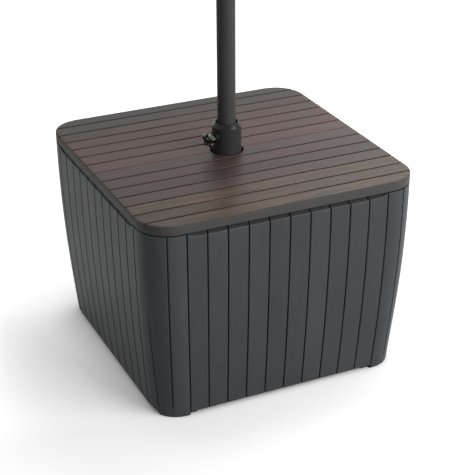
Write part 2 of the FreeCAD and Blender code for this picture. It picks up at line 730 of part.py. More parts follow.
HUB_START = "(%s + dims.knob_boss_gap)" % BOSS_END
HEAD_START = "(%s + dims.knob_hub_length)" % HUB_START
HEAD_END = "(%s + dims.knob_thickness)" % HEAD_START
GRIP_END = "(%s + dims.stud_grip)" % HUB_START
stud_nose = "(%s + dims.presser_stud_gap)" % SOCKET_START
stud_shoulder = "(%s + dims.presser_stud_gap)" % PRESSER_END
node(on_clamp_axis(turned("stud", [
    ("0", stud_nose),
    ("dims.stud_nose_radius", stud_nose),
    ("dims.stud_nose_radius", stud_shoulder),
    ("dims.stud_radius", stud_shoulder),
    ("dims.stud_radius", GRIP_END),
    ("0", GRIP_END),
])), "clamp_stud")


def star_knob():
    """Bevelled disc on a hub, with scallops between its lobes and a blind hole for the stud."""
    body = turned("knob", [
        ("dims.stud_radius", HUB_START),
        ("dims.knob_hub_radius", HUB_START),
        ("dims.knob_hub_radius", HEAD_START),
        ("dims.knob_radius - dims.knob_bevel", HEAD_START),
        ("dims.knob_radius", "%s + dims.knob_bevel" % HEAD_START),
        ("dims.knob_radius", "%s - dims.knob_bevel" % HEAD_END),
        ("dims.knob_radius - dims.knob_bevel", HEAD_END),
        ("0", HEAD_END),
        ("0", GRIP_END),
        ("dims.stud_radius", GRIP_END),
    ])
    doc.recompute()
    plain_volume = body.Shape.Volume
    sketch = new_sketch(body, "knob_scallop_sketch", "XY_Plane")
    radius = "dims.knob_scallop_radius"
    distance = "dims.knob_radius + dims.knob_scallop_radius - dims.knob_scallop_depth"
    centre = FreeCAD.Vector(value(distance), 0, 0)
    sketch.addGeometry(Part.Circle(centre, UP, value(radius)))
    sketch.addConstraint(Sketcher.Constraint("PointOnObject", 0, 3, -1))
    size = sketch.addConstraint(Sketcher.Constraint("Radius", 0, value(radius)))
    sketch.setExpression("Constraints[%d]" % size, radius)
    offset = sketch.addConstraint(Sketcher.Constraint("DistanceX", -1, 1, 0, 3, value(distance)))
    sketch.setExpression("Constraints[%d]" % offset, distance)
    scallop = body.newObject("PartDesign::Pocket", "knob_scallop")
    scallop.Profile = sketch
    scallop.Type = "ThroughAll"
    scallop.Reversed = True
    scallops = body.newObject("PartDesign::PolarPattern", "knob_scallops")
    scallops.Originals = [scallop]
    scallops.Axis = (sketch, ["N_Axis"])
    scallops.Angle = 360
    scallops.setExpression("Occurrences", "dims.knob_lobes")
    body.Tip = scallops
    doc.recompute()
    if not body.Shape.Volume < plain_volume:
        raise RuntimeError("the knob's scallops cut nothing")
    return body


node(on_clamp_axis(star_knob()), "clamp_knob")


# Parasol pole

plug_top = "(%s + dims.plug_flange)" % POLE_FOOT
node(turned("plug", [
    ("0", POLE_FOOT),
    ("dims.pole_radius", POLE_FOOT),
    ("dims.pole_radius", plug_top),
    (POLE_BORE, plug_top),
    (POLE_BORE, "%s + dims.plug_stem" % plug_top),
    ("0", "%s + dims.plug_stem" % plug_top),
]), "pole_end_plug")
pole_socket_radius = "(%s + dims.socket_step)" % POLE_BORE
socket_floor = "(%s - dims.socket_depth)" % POLE_TOP
node(turned("pole", [
    (POLE_BORE, plug_top),
    ("dims.pole_radius", plug_top),
    ("dims.pole_radius", POLE_TOP),
    (pole_socket_radius, POLE_TOP),
    (pole_socket_radius, socket_floor),
    (POLE_BORE, socket_floor),
]), "pole_tube")
stop_top = "(%s - dims.stop_gap)" % socket_floor
stop_floor = "(%s - dims.stop_thickness)" % stop_top
node(disc("stop", POLE_BORE, stop_floor, stop_top), "pole_stop")
node(ring("ferrule", "dims.pole_radius", "dims.pole_radius + dims.ferrule_wall",
          "%s - dims.ferrule_height" % POLE_TOP, POLE_TOP), "pole_ferrule")


# Seam rails, their plate on the tube, their hangers on the side panels and their screws

def facing_pair(name, items, angle):
    """Pieces turned by an angle and again by half a turn more, as separate solids."""
    headings = (angle, angle + 180)
    return group(name, [turn(group("%s_%d" % (name, heading), items), heading) for heading in headings])


rail_length = "(%s - %s)" % (RAIL_END, RAIL_START)
rail_bar = box("rail_bar", (rail_length, "dims.rail_width", "dims.rail_height"),
               (RAIL_START, "-dims.rail_width / 2", RAIL_FLOOR))
hollow_sizes = (rail_length, "dims.rail_width - 2 * dims.rail_wall", "dims.rail_height - 2 * dims.rail_wall")
hollow_corner = (RAIL_START, "dims.rail_wall - dims.rail_width / 2", "%s + dims.rail_wall" % RAIL_FLOOR)
rail_hollow = box("rail_hollow", hollow_sizes, hollow_corner)
PLATE_SCREW_AT = "(dims.rail_plate_length / 2 - dims.rail_screw_inset)"
HANGER_SCREW_AT = "(%s - dims.rail_screw_inset)" % RAIL_END
rail_screw_holes = [cylinder("rail_screw_hole_%d" % count, SCREW_HOLE, "%s + dims.rail_wall" % RAIL_FLOOR, x)
                    for count, x in enumerate((PLATE_SCREW_AT, HANGER_SCREW_AT))]
for side, angle in (("right", 0), ("left", 180)):
    node(turn(cut("rail_" + side, rail_bar, rail_hollow, *rail_screw_holes), angle), "seam_rail_" + side)

rail_plate_floor = "(%s - dims.rail_plate_thickness)" % RAIL_FLOOR
rail_plate_block = centred_box("rail_plate_block", "dims.rail_plate_length", "dims.rail_plate_width",
                               "dims.rail_plate_thickness", rail_plate_floor)
tube_passage = cylinder("tube_passage", TUBE_OUTER, "dims.table_height")
plate_holes = facing_pair("plate_holes", [rail_screw_holes[0]], 0)
node(cut("rail_plate", rail_plate_block, tube_passage, plate_holes), "rail_plate")

hanger_floor = "(%s - dims.hanger_thickness)" % RAIL_FLOOR
hanger_back = box("hanger_back", ("dims.hanger_width", "dims.hanger_thickness", "dims.hanger_drop"),
                  ("-dims.hanger_width / 2", "-" + HANGER_FACE, "%s - dims.hanger_drop" % RAIL_FLOOR))
hanger_shelf = box("hanger_shelf", ("dims.hanger_width", "dims.hanger_reach", "dims.hanger_thickness"),
                   ("-dims.hanger_width / 2", "-" + HANGER_FACE, hanger_floor))
shelf_hole = turn(group("shelf_hole", [rail_screw_holes[1]]), 270)
back_holes = [cylinder("hanger_back_hole_%d" % count, SCREW_HOLE, "2 * dims.hanger_thickness", x,
                       "-(%s + dims.hanger_thickness)" % HANGER_FACE, hanger_screw_height, FACING_FRONT)
              for count, x in enumerate(hanger_screw_ends)]
hanger = cut("hanger", fuse("hanger_angle", hanger_back, hanger_shelf), shelf_hole, *back_holes)
hanger_screws = [screw("hanger_screw_%d" % count, hanger_screw_length, x, hanger_seat, hanger_screw_height,
                       FACING_FRONT) for count, x in enumerate(hanger_screw_ends)]
node(facing_pair("rail_hangers", [hanger], 90), "rail_hangers")
node(facing_pair("hanger_screws", hanger_screws, 90), "hanger_screws")
plate_screw = screw("plate_screw", "dims.rail_plate_thickness + dims.rail_wall", PLATE_SCREW_AT, "0",
                    rail_plate_floor, UPSIDE_DOWN)
shelf_screw = screw("shelf_screw", "dims.hanger_thickness + dims.rail_wall", HANGER_SCREW_AT, "0",
                    hanger_floor, UPSIDE_DOWN)
node(facing_pair("rail_screws", [plate_screw, shelf_screw], 0), "rail_screws")


# Half tops: a skin of boards over a rim, a seam wall, a wall round the pole hole and ribs

SEAM_FACE = "(dims.seam_gap / 2)"
half_depth = "(%s - %s)" % (HALF, SEAM_FACE)


def is_outer_corner(edge):
    """True for the two upright edges of a half top's front face."""
    return is_upright(edge) and edge.BoundBox.Center.y < -value(HALF) / 2


def is_outer_rim(edge):
    """True for the top edges of a half top apart from the one along the seam."""
    limits = edge.BoundBox
    on_top = limits.ZMin > value("dims.table_height - dims.rim_height / 2")
    return on_top and limits.YMin < -value("2 * " + SEAM_FACE)


top_block = box("top_block", ("dims.table_width", half_depth, "dims.rim_height"),
                ("-" + HALF, "-" + HALF, WALL_TOP))
top_corners = rounded("top_corners", top_block, "dims.corner_radius", is_outer_corner)
top_slab = rounded("top_slab", top_corners, "dims.rim_round", is_outer_rim)
cavity_sizes = ("dims.table_width - 2 * dims.rim_wall", "%s - 2 * dims.rim_wall" % half_depth,
                "dims.rim_height - dims.top_skin")
cavity_start = "-(%s - dims.rim_wall)" % HALF
cavity_block = box("cavity_block", cavity_sizes, (cavity_start, cavity_start, WALL_TOP))
cavity_room = rounded("cavity_room", cavity_block, "dims.corner_radius - dims.rim_wall", is_outer_corner)
hole_collar = cylinder("hole_collar", "%s + dims.hole_wall" % HOLE_RADIUS, "dims.table_height")
rib_start = "%s * (2 * %d / (dims.rib_count + 1) - 1) - dims.rib_width / 2"
ribs = [box("rib_%d" % count, ("dims.rib_width", HALF, "dims.table_height"),
            (rib_start % (HALF, count), "-" + HALF, "0"))
        for count in range(1, int(value("dims.rib_count")) + 1)]
cavity = cut("cavity", cavity_room, hole_collar, *ribs)
tab_face = "(%s - dims.tab_gap)" % LEDGE_INNER
tab_height = "dims.tab_drop + dims.rim_height - dims.top_skin / 2"
tab = box("locating_tab", ("dims.tab_length", "dims.rib_width", tab_height),
          ("-dims.tab_length / 2", "-" + tab_face, "%s - dims.tab_drop" % WALL_TOP))
slot_sizes = ("dims.table_width", "dims.groove_width", "dims.board_groove_depth")
slot_floor = "dims.table_height - dims.board_groove_depth"
board_slots = [box("board_slot_%d" % step, slot_sizes,
                   ("-" + HALF, "-%s - dims.groove_width / 2" % groove_at(step), slot_floor))
               for step in range(1, half_steps + 1)]
pole_hole = cylinder("pole_hole", HOLE_RADIUS, "dims.table_height")
top_shell = fuse("top_shell", cut("top_hollowed", top_slab, cavity), tab)
for half, angle in (("front", 0), ("rear", 180)):
    node(turn(cut("top_" + half, top_shell, pole_hole, *board_slots), angle), "top_" + half)


# Check every object, then write the pieces

doc.recompute()
for item in doc.Objects:
    if "Invalid" in item.State or "Error" in item.State:
        raise RuntimeError("%s failed: %s" % (item.Name, item.State))
for item in nodes:
    if item.Shape.isNull() or not item.Shape.isValid() or not item.Shape.Solids:
        raise RuntimeError("%s has no valid solid" % item.Label)

os.makedirs("parts", exist_ok=True)
for item in nodes:
    item.Shape.exportStep("parts/%s.step" % item.Label)
    print("%-28s %2d solids %12.1f mm3" % (item.Label, len(item.Shape.Solids), item.Shape.Volume))
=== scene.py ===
import json
import math

import bmesh
import bpy
from mathutils import Matrix, Vector


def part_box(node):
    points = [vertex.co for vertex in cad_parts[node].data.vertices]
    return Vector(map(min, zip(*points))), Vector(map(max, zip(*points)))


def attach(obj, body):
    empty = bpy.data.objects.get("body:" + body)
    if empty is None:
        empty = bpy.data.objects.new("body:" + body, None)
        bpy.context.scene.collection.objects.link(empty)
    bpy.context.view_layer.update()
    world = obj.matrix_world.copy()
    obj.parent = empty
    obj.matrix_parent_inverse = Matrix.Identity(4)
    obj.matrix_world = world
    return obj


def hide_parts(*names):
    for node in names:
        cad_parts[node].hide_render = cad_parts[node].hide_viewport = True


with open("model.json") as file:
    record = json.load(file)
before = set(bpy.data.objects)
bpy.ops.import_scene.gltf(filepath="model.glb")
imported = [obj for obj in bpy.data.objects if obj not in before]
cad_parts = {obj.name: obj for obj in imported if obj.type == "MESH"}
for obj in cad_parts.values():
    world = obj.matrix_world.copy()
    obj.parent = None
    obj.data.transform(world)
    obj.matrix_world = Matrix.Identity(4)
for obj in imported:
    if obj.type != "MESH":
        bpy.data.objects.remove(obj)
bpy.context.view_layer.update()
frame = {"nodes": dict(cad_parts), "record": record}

MM = 0.001


def box_end(node, end, axis):
    """Lowest (end 0) or highest (end 1) place of a solid along an axis, in millimetres."""
    return round(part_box(node)[end]["xyz".index(axis)] / MM, 3)


# Outer sizes in millimetres, taken from the solids
HALF = box_end("top_front", 1, "x")
TABLE_TOP = box_end("top_front", 1, "z")
SEAM_FACE = -box_end("top_front", 1, "y")
RIM_FLOOR = box_end("side_panel_front", 1, "z")
PANEL_FLOOR = box_end("side_panel_front", 0, "z")
POST_FLOOR = box_end("corner_post_front_left", 0, "z")
TAB_DROP = RIM_FLOOR - box_end("top_front", 0, "z")
SLEEVE_RADIUS = box_end("tube_sleeve", 1, "x")
SLEEVE_FLOOR = box_end("tube_sleeve", 0, "z")
SLEEVE_TOP = box_end("tube_sleeve", 1, "z")

# Other sizes of the table in millimetres
CORNER = 68.0
# How far the walls come in at the floor, and the radius of their bow
INSET = 24.6
BOW = (RIM_FLOOR ** 2 + INSET ** 2) / (2 * INSET)
# Grooves on each half of a side: width outside the last, their number, how they draw closer, middle spacing
EDGE_STRIP = 37.5
SLAT_STEPS = 6
NARROWING = 0.038
MIDDLE_PITCH = (HALF - EDGE_STRIP) / SLAT_STEPS + NARROWING * SLAT_STEPS ** 2
# Seen from above, the grooves of a side point to a place this far beyond the middle of the table
APEX = 212.0
REACH = APEX + HALF
# Walls, laps, ledges and gussets
JOINT_GAP = 0.3
SKIN = 3.0
PANEL_WALL = 7.8
POST_WALL = 8.0
LAP_DEPTH = 12.0
LAP_WIDTH = 16.0
SHADOW_GAP = 2.0
LEDGE_HEIGHT = 20.0
LEDGE_DEPTH = 16.0
LEDGE_END = 204.6
GUSSET_FLOOR = 4.0
GUSSET_TOP = 12.0
GUSSET_REACH = 110.0
# Half tops
TOP_SKIN = 8.0
RIM_WALL = 12.0
RIM_ROUND = 2.0
HOLE_RADIUS = 36.5
HOLE_WALL = 8.0
RIB_WIDTH = 5.0
RIB_SPACING = 154.0
TAB_LENGTH = 300.0
TAB_FACE = 283.2
# Points closer than the first distance become one, and faces thinner than the second are dropped
WELD = 0.01
SLIVER = 0.005
# Numbers that scatter the tones of neighbouring slats
TONE_FACTORS = (12.9898, 78.233)
TONE_SPREAD = 43758.5453

SIDES = {"front": 0, "right": 90, "rear": 180, "left": 270}
CORNERS = {"front_left": 0, "front_right": 90, "rear_right": 180, "rear_left": 270}

# Shape of a groove: (distance from its middle, share of its depth), from the middle outwards
GROOVE_SHAPE = ((0.0, 1.0), (1.0, 1.0), (1.12, 0.52), (1.35, 0.27), (1.75, 0.11), (2.25, 0.03), (2.8, 0.0),
                (3.3, 0.0))


def groove_at(step):
    """Distance of a groove from the middle of a side; grooves draw closer towards its ends."""
    return step * MIDDLE_PITCH - NARROWING * step ** 3


JOINT_AT = groove_at(SLAT_STEPS - 1)


def wall(z):
    """Half width of the walls at a height."""
    return HALF - BOW + math.sqrt(BOW ** 2 - (RIM_FLOOR - z) ** 2)


def fraction(value, low, high):
    """Smooth step from 0 at low to 1 at high."""
    share = min(max((value - low) / (high - low), 0.0), 1.0)
    return share * share * (3 - 2 * share)


def quarter_round(distance, radius):
    """Drop of a rounded edge at a distance from the edge."""
    if distance >= radius:
        return 0.0
    return radius - math.sqrt(max(radius ** 2 - (radius - distance) ** 2, 0.0))


def tone_of(slat, side_angle):
    """Repeatable number from 0 to 1 for a slat of a side."""
    wave = math.sin(slat * TONE_FACTORS[0] + side_angle * TONE_FACTORS[1])
    return wave * TONE_SPREAD % 1.0


class Shell:
    """Mesh under construction, in millimetres, with four values at each point.

    Tone and shade tell slats and boards apart; the shade of a post is painted light and shade. Groove is
    painted
    shade, up to 1 where it is darkest: in grooves, finger recesses, the gap under the rim, the sleeve's
    shoulder and bore.
    Rim is 1 on the rim of the top and where metal is polished, and on the lip of a finger recess it is a
    painted highlight."""

    VALUES = ("tone", "shade", "groove", "rim")

    def __init__(self):
        self.bm = bmesh.new()
        self.layers = {name: self.bm.verts.layers.float.new(name) for name in self.VALUES}

    def point(self, place, **values):
        """New point with its values."""
        vert = self.bm.verts.new([coordinate * MM for coordinate in place])
        for name, value in values.items():
            vert[self.layers[name]] = value
        return vert

    def face(self, *verts):
        """New face on some points."""
        return self.bm.faces.new(verts)

    def strip(self, first, second, closed=False):
        """Quads between two rows of points."""
        count = len(first)
        for here in range(count if closed else count - 1):
            after = (here + 1) % count
            self.face(first[here], first[after], second[after], second[here])

    def solid(self, rings):
        """Closed solid through rings of points."""
        for first, second in zip(rings, rings[1:]):
            self.strip(first, second, closed=True)
        self.face(*rings[0])
        self.face(*rings[-1])

    def prism(self, outline, floor, top, **values):
        """Upright prism on an outline of (x, y) points."""
        low = [self.point((x, y, floor), **values) for x, y in outline]
        high = [self.point((x, y, top), **values) for x, y in outline]
        self.solid([low, high])

    def turn(self, angle):
        """Turn all points about the upright axis by an angle in degrees."""
        bmesh.ops.rotate(self.bm, verts=self.bm.verts, matrix=Matrix.Rotation(math.radians(angle), 3, "Z"))

    def finish(self, name, body, nodes, material, sharp=32):
        """Make the shell a piece that stands for some solids, with edges sharp from an angle on."""
        bmesh.ops.remove_doubles(self.bm, verts=self.bm.verts, dist=WELD * MM)
        bmesh.ops.dissolve_degenerate(self.bm, edges=self.bm.edges, dist=SLIVER * MM)
        bmesh.ops.recalc_face_normals(self.bm, faces=self.bm.faces)
        mesh = bpy.data.meshes.new(name)
        self.bm.to_mesh(mesh)
        self.bm.free()
        mesh.polygons.foreach_set("use_smooth", [True] * len(mesh.polygons))
        mesh.set_sharp_from_angle(angle=math.radians(sharp))
        mesh.materials.append(material)
        piece = bpy.data.objects.new(name, mesh)
        bpy.context.scene.collection.objects.link(piece)
        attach(piece, body)
        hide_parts(*nodes)
        return piece


# Materials

def new_material(name):
    """New material, its node tree and its shader."""
    material = bpy.data.materials.new(name)
    material.use_nodes = True
    tree = material.node_tree
    shader = tree.nodes["Principled BSDF"]
    return material, tree, shader


def add(tree, kind, inputs=None, **settings):
    """Node with its settings and inputs; an input that is a socket is linked."""
    item = tree.nodes.new(kind)
    for name, value in settings.items():
        setattr(item, name, value)
    for name, value in (inputs or {}).items():
        if isinstance(value, bpy.types.NodeSocket):
            tree.links.new(value, item.inputs[name])
        else:
            item.inputs[name].default_value = value
    return item


def math_node(tree, operation, first, second=0.0):
    """Result of an operation on two numbers or sockets."""
    return add(tree, "ShaderNodeMath", {0: first, 1: second}, operation=operation).outputs[0]


def product(tree, first, *others):
    """Product of numbers or sockets."""
    for other in others:
        first = math_node(tree, "MULTIPLY", first, other)
    return first


def blended(tree, first, second, share):
    """Sum of two patterns, with a share for the first and the rest for the second."""
    return math_node(tree, "ADD", product(tree, first, share), product(tree, second, 1.0 - share))


def object_place(tree, scale=(1, 1, 1), offset=None):
    """Position on the piece, scaled, with an optional vector added."""
    place = add(tree, "ShaderNodeTexCoord").outputs["Object"]
    if offset is not None:
        place = add(tree, "ShaderNodeVectorMath", {0: place, 1: offset}, operation="ADD").outputs[0]
    return add(tree, "ShaderNodeMapping", {"Vector": place, "Scale": scale}).outputs[0]


# Values that most of a cloudy pattern lies between
USUAL = (0.3, 0.7)


def noise(tree, place, scale, detail=4.0, roughness=0.55):
    """Cloudy pattern from 0 to 1."""
    return add(tree, "ShaderNodeTexNoise", {"Vector": place, "Scale": scale, "Detail": detail,
                                            "Roughness": roughness}).outputs["Fac"]


def ramp(tree, factor, stops):
    """Colours blended along a factor: stops are (place, colour)."""
    item = add(tree, "ShaderNodeValToRGB", {"Fac": factor})
    elements = item.color_ramp.elements
    while len(elements) < len(stops):
        elements.new(0.5)
    for element, (place, colour) in zip(elements, stops):
        element.position = place
        element.color = (*colour, 1.0)
    return item.outputs["Color"]


def two_tones(tree, pattern, dark, light):
    """Colours between a dark and a light one along a cloudy pattern."""
    return ramp(tree, pattern, list(zip(USUAL, (dark, light))))


def span(tree, factor, low, high, low_in=0.0, high_in=1.0):
    """Factor carried from one range to another."""
    return add(tree, "ShaderNodeMapRange", {"Value": factor, "From Min": low_in, "From Max": high_in,
                                            "To Min": low, "To Max": high}).outputs[0]


def mix(tree, factor, first, second, kind="MIX"):
    """Blend of two colours."""
    item = tree.nodes.new("ShaderNodeMix")
    item.data_type = "RGBA"
    item.blend_type = kind
    sockets = {"Factor": item.inputs[0], "A": item.inputs[6], "B": item.inputs[7]}
    for name, value in (("Factor", factor), ("A", first), ("B", second)):
        if isinstance(value, bpy.types.NodeSocket):
            tree.links.new(value, sockets[name])
        else:
            sockets[name].default_value = value if name == "Factor" else (*value, 1.0)
    return item.outputs[2]


def point_value(tree, name):
    """Value that the mesh carries at its points."""
    return add(tree, "ShaderNodeAttribute", attribute_name=name).outputs["Fac"]


def bump(tree, shader, height, strength, distance):
    """Small relief on a shader."""
    relief = add(tree, "ShaderNodeBump", {"Height": height, "Strength": strength, "Distance": distance})
    tree.links.new(relief.outputs["Normal"], shader.inputs["Normal"])


GREY = (0.0492, 0.0508, 0.0534)
RIM_GREY = (0.057, 0.0555, 0.0535)


def scaled(colour, share):
    """Colour made lighter or darker by a share."""
    return tuple(share * part for part in colour)


def grey_of(tree, brightness):
    """Grey colour of a brightness."""
    return add(tree, "ShaderNodeCombineColor", {0: brightness, 1: brightness, 2: brightness}).outputs[0]


def slat_resin():
    """Satin dark grey moulded resin with faint upright grain, near black in the grooves with painted shade.
    """
    material, tree, shader = new_material("slat_resin_look")
    shader.inputs["Specular IOR Level"].default_value = 0.12
    tone = point_value(tree, "tone")
    shift = add(tree, "ShaderNodeCombineXYZ", {"Z": product(tree, tone, 3.0)}).outputs[0]
    grain = noise(tree, object_place(tree, (260, 260, 7), shift), 1.0, 5.0, 0.6)
    cloud = noise(tree, object_place(tree, (1, 1, 0.6)), 9.0, 3.0)
    brightness = product(
        tree,
        span(tree, tone, 0.95, 1.05),
        # Painted light and shade of each post
        point_value(tree, "shade"),
        span(tree, cloud, 0.93, 1.07, *USUAL),
        # Painted highlight on the lip of a finger recess
        span(tree, point_value(tree, "rim"), 1.0, 1.35),
        span(tree, grain, 0.92, 1.08, 0.25, 0.75),
        # Painted shade in the grooves, the finger recesses and the gap under the rim
        span(tree, point_value(tree, "groove"), 1.0, 0.08),
    )
    colour = mix(tree, 1.0, GREY, grey_of(tree, brightness), "MULTIPLY")
    tree.links.new(colour, shader.inputs["Base Color"])
    tree.links.new(span(tree, grain, 0.42, 0.54, *USUAL), shader.inputs["Roughness"])
    pebble = noise(tree, object_place(tree), 1400.0, 2.0)
    bump(tree, shader, blended(tree, grain, pebble, 0.7), 0.25, 0.0004)
    return material


def board_resin():
    """Printed weathered boards with long grain; the rim below them is plain grey resin."""
    material, tree, shader = new_material("board_resin_look")
    shader.inputs["Specular IOR Level"].default_value = 0.17
    tone = point_value(tree, "tone")
    shift = add(tree, "ShaderNodeCombineXYZ", {"X": product(tree, tone, 7.0),
                                               "Z": product(tree, tone, 3.0)}).outputs[0]
    patch = noise(tree, object_place(tree, (3.5, 9, 4), shift), 1.0, 3.0, 0.5)
    wander = math_node(tree, "ADD", tone, span(tree, patch, -0.15, 0.15, 0.25, 0.75))
    colour = ramp(tree, wander, [
        (0.0, (0.053, 0.044, 0.042)),
        (0.15, (0.055, 0.042, 0.037)),
        (0.38, (0.071, 0.0485, 0.043)),
        (0.6, (0.091, 0.046, 0.0385)),
        (0.8, (0.075, 0.049, 0.035)),
        (1.0, (0.102, 0.068, 0.0455)),
    ])
    band = noise(tree, object_place(tree, (8, 120, 20), shift), 1.0, 4.0, 0.6)
    grain = noise(tree, object_place(tree, (9, 420, 40), shift), 1.0, 6.0, 0.65)
    fine = noise(tree, object_place(tree, (30, 1500, 60), shift), 1.0, 3.0, 0.6)
    streak = blended(tree, grain, fine, 0.7)
    broad = product(tree, span(tree, band, -1.0, 1.0, *USUAL), span(tree, tone, 0.08, 0.46, 0.7, 0.95))
    narrow = product(tree, span(tree, streak, -0.42, 0.42, *USUAL), span(tree, tone, 0.8, 1.6))
    swing = math_node(tree, "ADD", math_node(tree, "ADD", narrow, broad), 1.0)
    shadow = span(tree, point_value(tree, "groove"), 1.0, 0.04)
    shade = product(tree, swing, point_value(tree, "shade"), shadow)
    colour = mix(tree, 1.0, colour, grey_of(tree, shade), "MULTIPLY")
    rim_cloud = noise(tree, object_place(tree), 14.0, 3.0)
    rim_colour = two_tones(tree, rim_cloud, scaled(RIM_GREY, 0.94), scaled(RIM_GREY, 1.06))
    rim = point_value(tree, "rim")
    tree.links.new(mix(tree, rim, colour, rim_colour), shader.inputs["Base Color"])
    roughness = math_node(tree, "ADD", span(tree, streak, 0.3, 0.42, *USUAL), span(tree, rim, 0.0, 0.3))
    tree.links.new(roughness, shader.inputs["Roughness"])
    bump(tree, shader, product(tree, streak, span(tree, rim, 1.0, 0.15)), 0.35, 0.0006)
    return material


def coated_metal(name, colour, roughness, speckle, gloss=0.5):
    """Powder coat: fine orange-peel relief and slight unevenness of tone.

    Points with a groove value are darker with painted shade, and points with a rim value are polished."""
    material, tree, shader = new_material(name)
    shader.inputs["Specular IOR Level"].default_value = gloss
    cloud = noise(tree, object_place(tree, (1, 1, 0.5)), 24.0, 3.0)
    grains = noise(tree, object_place(tree), speckle, 2.0)
    pattern = blended(tree, cloud, grains, 0.6)
    coat = two_tones(tree, pattern, scaled(colour, 0.86), scaled(colour, 1.14))
    # Painted shade from the points' groove value
    shade = grey_of(tree, span(tree, point_value(tree, "groove"), 1.0, 0.0))
    tree.links.new(mix(tree, 1.0, coat, shade, "MULTIPLY"), shader.inputs["Base Color"])
    satin = span(tree, cloud, roughness - 0.06, roughness + 0.06, *USUAL)
    polish = span(tree, point_value(tree, "rim"), 1.0, 0.55)
    tree.links.new(product(tree, satin, polish), shader.inputs["Roughness"])
    bump(tree, shader, grains, 0.2, 0.0002)
    return material


def moulded_plastic(name, colour, roughness, gloss=0.5):
    """Dark moulded plastic with a spark-eroded texture."""
    material, tree, shader = new_material(name)
    shader.inputs["Specular IOR Level"].default_value = gloss
    cloud = noise(tree, object_place(tree), 30.0, 4.0)
    pebble = noise(tree, object_place(tree), 2200.0, 2.0)
    mottled = two_tones(tree, cloud, scaled(colour, 0.85), scaled(colour, 1.2))
    tree.links.new(mottled, shader.inputs["Base Color"])
    matt = span(tree, pebble, roughness - 0.08, roughness + 0.08, *USUAL)
    tree.links.new(matt, shader.inputs["Roughness"])
    bump(tree, shader, pebble, 0.3, 0.00015)
    return material


def zinc_plate(name):
    """Bright zinc plate with streaks left by turning and passivation."""
    material, tree, shader = new_material(name)
    shader.inputs["Metallic"].default_value = 1.0
    streak = noise(tree, object_place(tree, (1, 1, 30)), 60.0, 4.0)
    plate = two_tones(tree, streak, (0.46, 0.46, 0.45), (0.66, 0.66, 0.63))
    tree.links.new(plate, shader.inputs["Base Color"])
    tree.links.new(span(tree, streak, 0.28, 0.45, *USUAL), shader.inputs["Roughness"])
    bump(tree, shader, streak, 0.1, 0.0002)
    return material


def cast_iron(name):
    """Rough sand-cast iron under dark primer, with a little rust."""
    material, tree, shader = new_material(name)
    lumps = noise(tree, object_place(tree), 160.0, 6.0, 0.65)
    rust = noise(tree, object_place(tree), 22.0, 5.0, 0.6)
    base = two_tones(tree, lumps, (0.018, 0.018, 0.019), (0.04, 0.039, 0.038))
    patches = span(tree, rust, 0.0, 0.6, 0.58, 0.72)
    tree.links.new(mix(tree, patches, base, (0.07, 0.036, 0.02)), shader.inputs["Base Color"])
    tree.links.new(span(tree, lumps, 0.6, 0.85, *USUAL), shader.inputs["Roughness"])
    bump(tree, shader, lumps, 0.6, 0.0012)
    return material


LOOKS = {
    "slat_resin": slat_resin(),
    "board_resin": board_resin(),
    "tray_plastic": moulded_plastic("tray_plastic_look", (0.014, 0.014, 0.014), 0.55),
    "pad_rubber": moulded_plastic("pad_rubber_look", (0.012, 0.012, 0.012), 0.75),
    "ballast_iron": cast_iron("ballast_iron_look"),
    "frame_steel": coated_metal("frame_steel_look", (0.018, 0.018, 0.018), 0.5, 900.0),
    "stand_coat": coated_metal("stand_coat_look", (0.0305, 0.0295, 0.0293), 0.45, 1100.0, 0.1),
    "pole_coat": coated_metal("pole_coat_look", (0.053, 0.053, 0.053), 0.5, 1300.0, 0.06),
    "trim_plastic": moulded_plastic("trim_plastic_look", (0.005, 0.005, 0.005), 0.17, 0.75),
    "zinc_steel": zinc_plate("zinc_steel_look"),
}

for subpart in frame["record"]["subparts"]:
    slots = frame["nodes"][subpart["node"]].data.materials
    slots.clear()
    slots.append(LOOKS[subpart["material_slot"]])

# The boss under the clamp knob is darker than the rest of the stand: painted shade in a darker copy of its
# coat
boss_shade_coat = coated_metal("boss_painted_shade_look", (0.009, 0.0088, 0.0088), 0.5, 1100.0, 0.1)
frame["nodes"]["clamp_boss"].data.materials[0] = boss_shade_coat


# Side panels

def groove_columns(middle, left=True, right=True):
    """(place across, depth) of one groove, from left to right."""
    columns = []
    if left:
        columns += [(middle - offset, SKIN * share) for offset, share in reversed(GROOVE_SHAPE[1:])]
    if right:
        columns += [(middle + offset, SKIN * share) for offset, share in GROOVE_SHAPE[1:]]
    return columns


RECESS_END = 223.0
RECESS_END_ROUND = 28.0
RECESS_HEIGHT = 9.5
RECESS_DEPTHS = {"front": 6.5, "rear": 6.5, "left": 3.2, "right": 3.2}
RECESS_END_DEPTH = 4.5
# The recess goes from its full depth to its end depth between these places, and then runs out this fast
RECESS_EASE = (178.0, 200.0)
RECESS_RUN_OUT = 1.6
# Section of the finger recess up from its rounded lip: (share of its depth, share of its height, painted
# shade)
RECESS_SHAPE = (
    (0.0, -0.06, 0.0), (0.02, 0.03, 0.0), (0.07, 0.1, 0.0), (0.14, 0.15, 0.0),
    (0.24, 0.185, 0.0), (0.36, 0.2, 0.0), (0.72, 0.22, 0.1), (0.9, 0.26, 0.6),
    (0.97, 0.33, 0.8), (1.0, 0.45, 0.8), (1.0, 0.75, 0.82), (1.0, 1.0, 0.9),
)
# Shares of the height that the lip lies between; the lip gets a painted highlight
LIP_RISE = (0.02, 0.21)
SKIN_TOP = RIM_FLOOR - SHADOW_GAP
# How much deeper the shadow gap under the rim is than the wall below it
GAP_EXTRA = 0.4
# Columns on a slat with an end of the recess, and on another slat
RECESS_PARTS = 20
SLAT_PARTS = 4
# Heights at which the rounded lower edge and the wall above it are sampled
FOOT_ROUND = 1.6
FOOT_STEPS = (0.0, 0.3, 0.8, FOOT_ROUND)
ROW_SPACING = 24.0
PANEL_ROWS = [PANEL_FLOOR + step for step in FOOT_STEPS] + [30.0 + ROW_SPACING * row for row in range(17)]
INNER_ROWS = (300.0, 150.0)


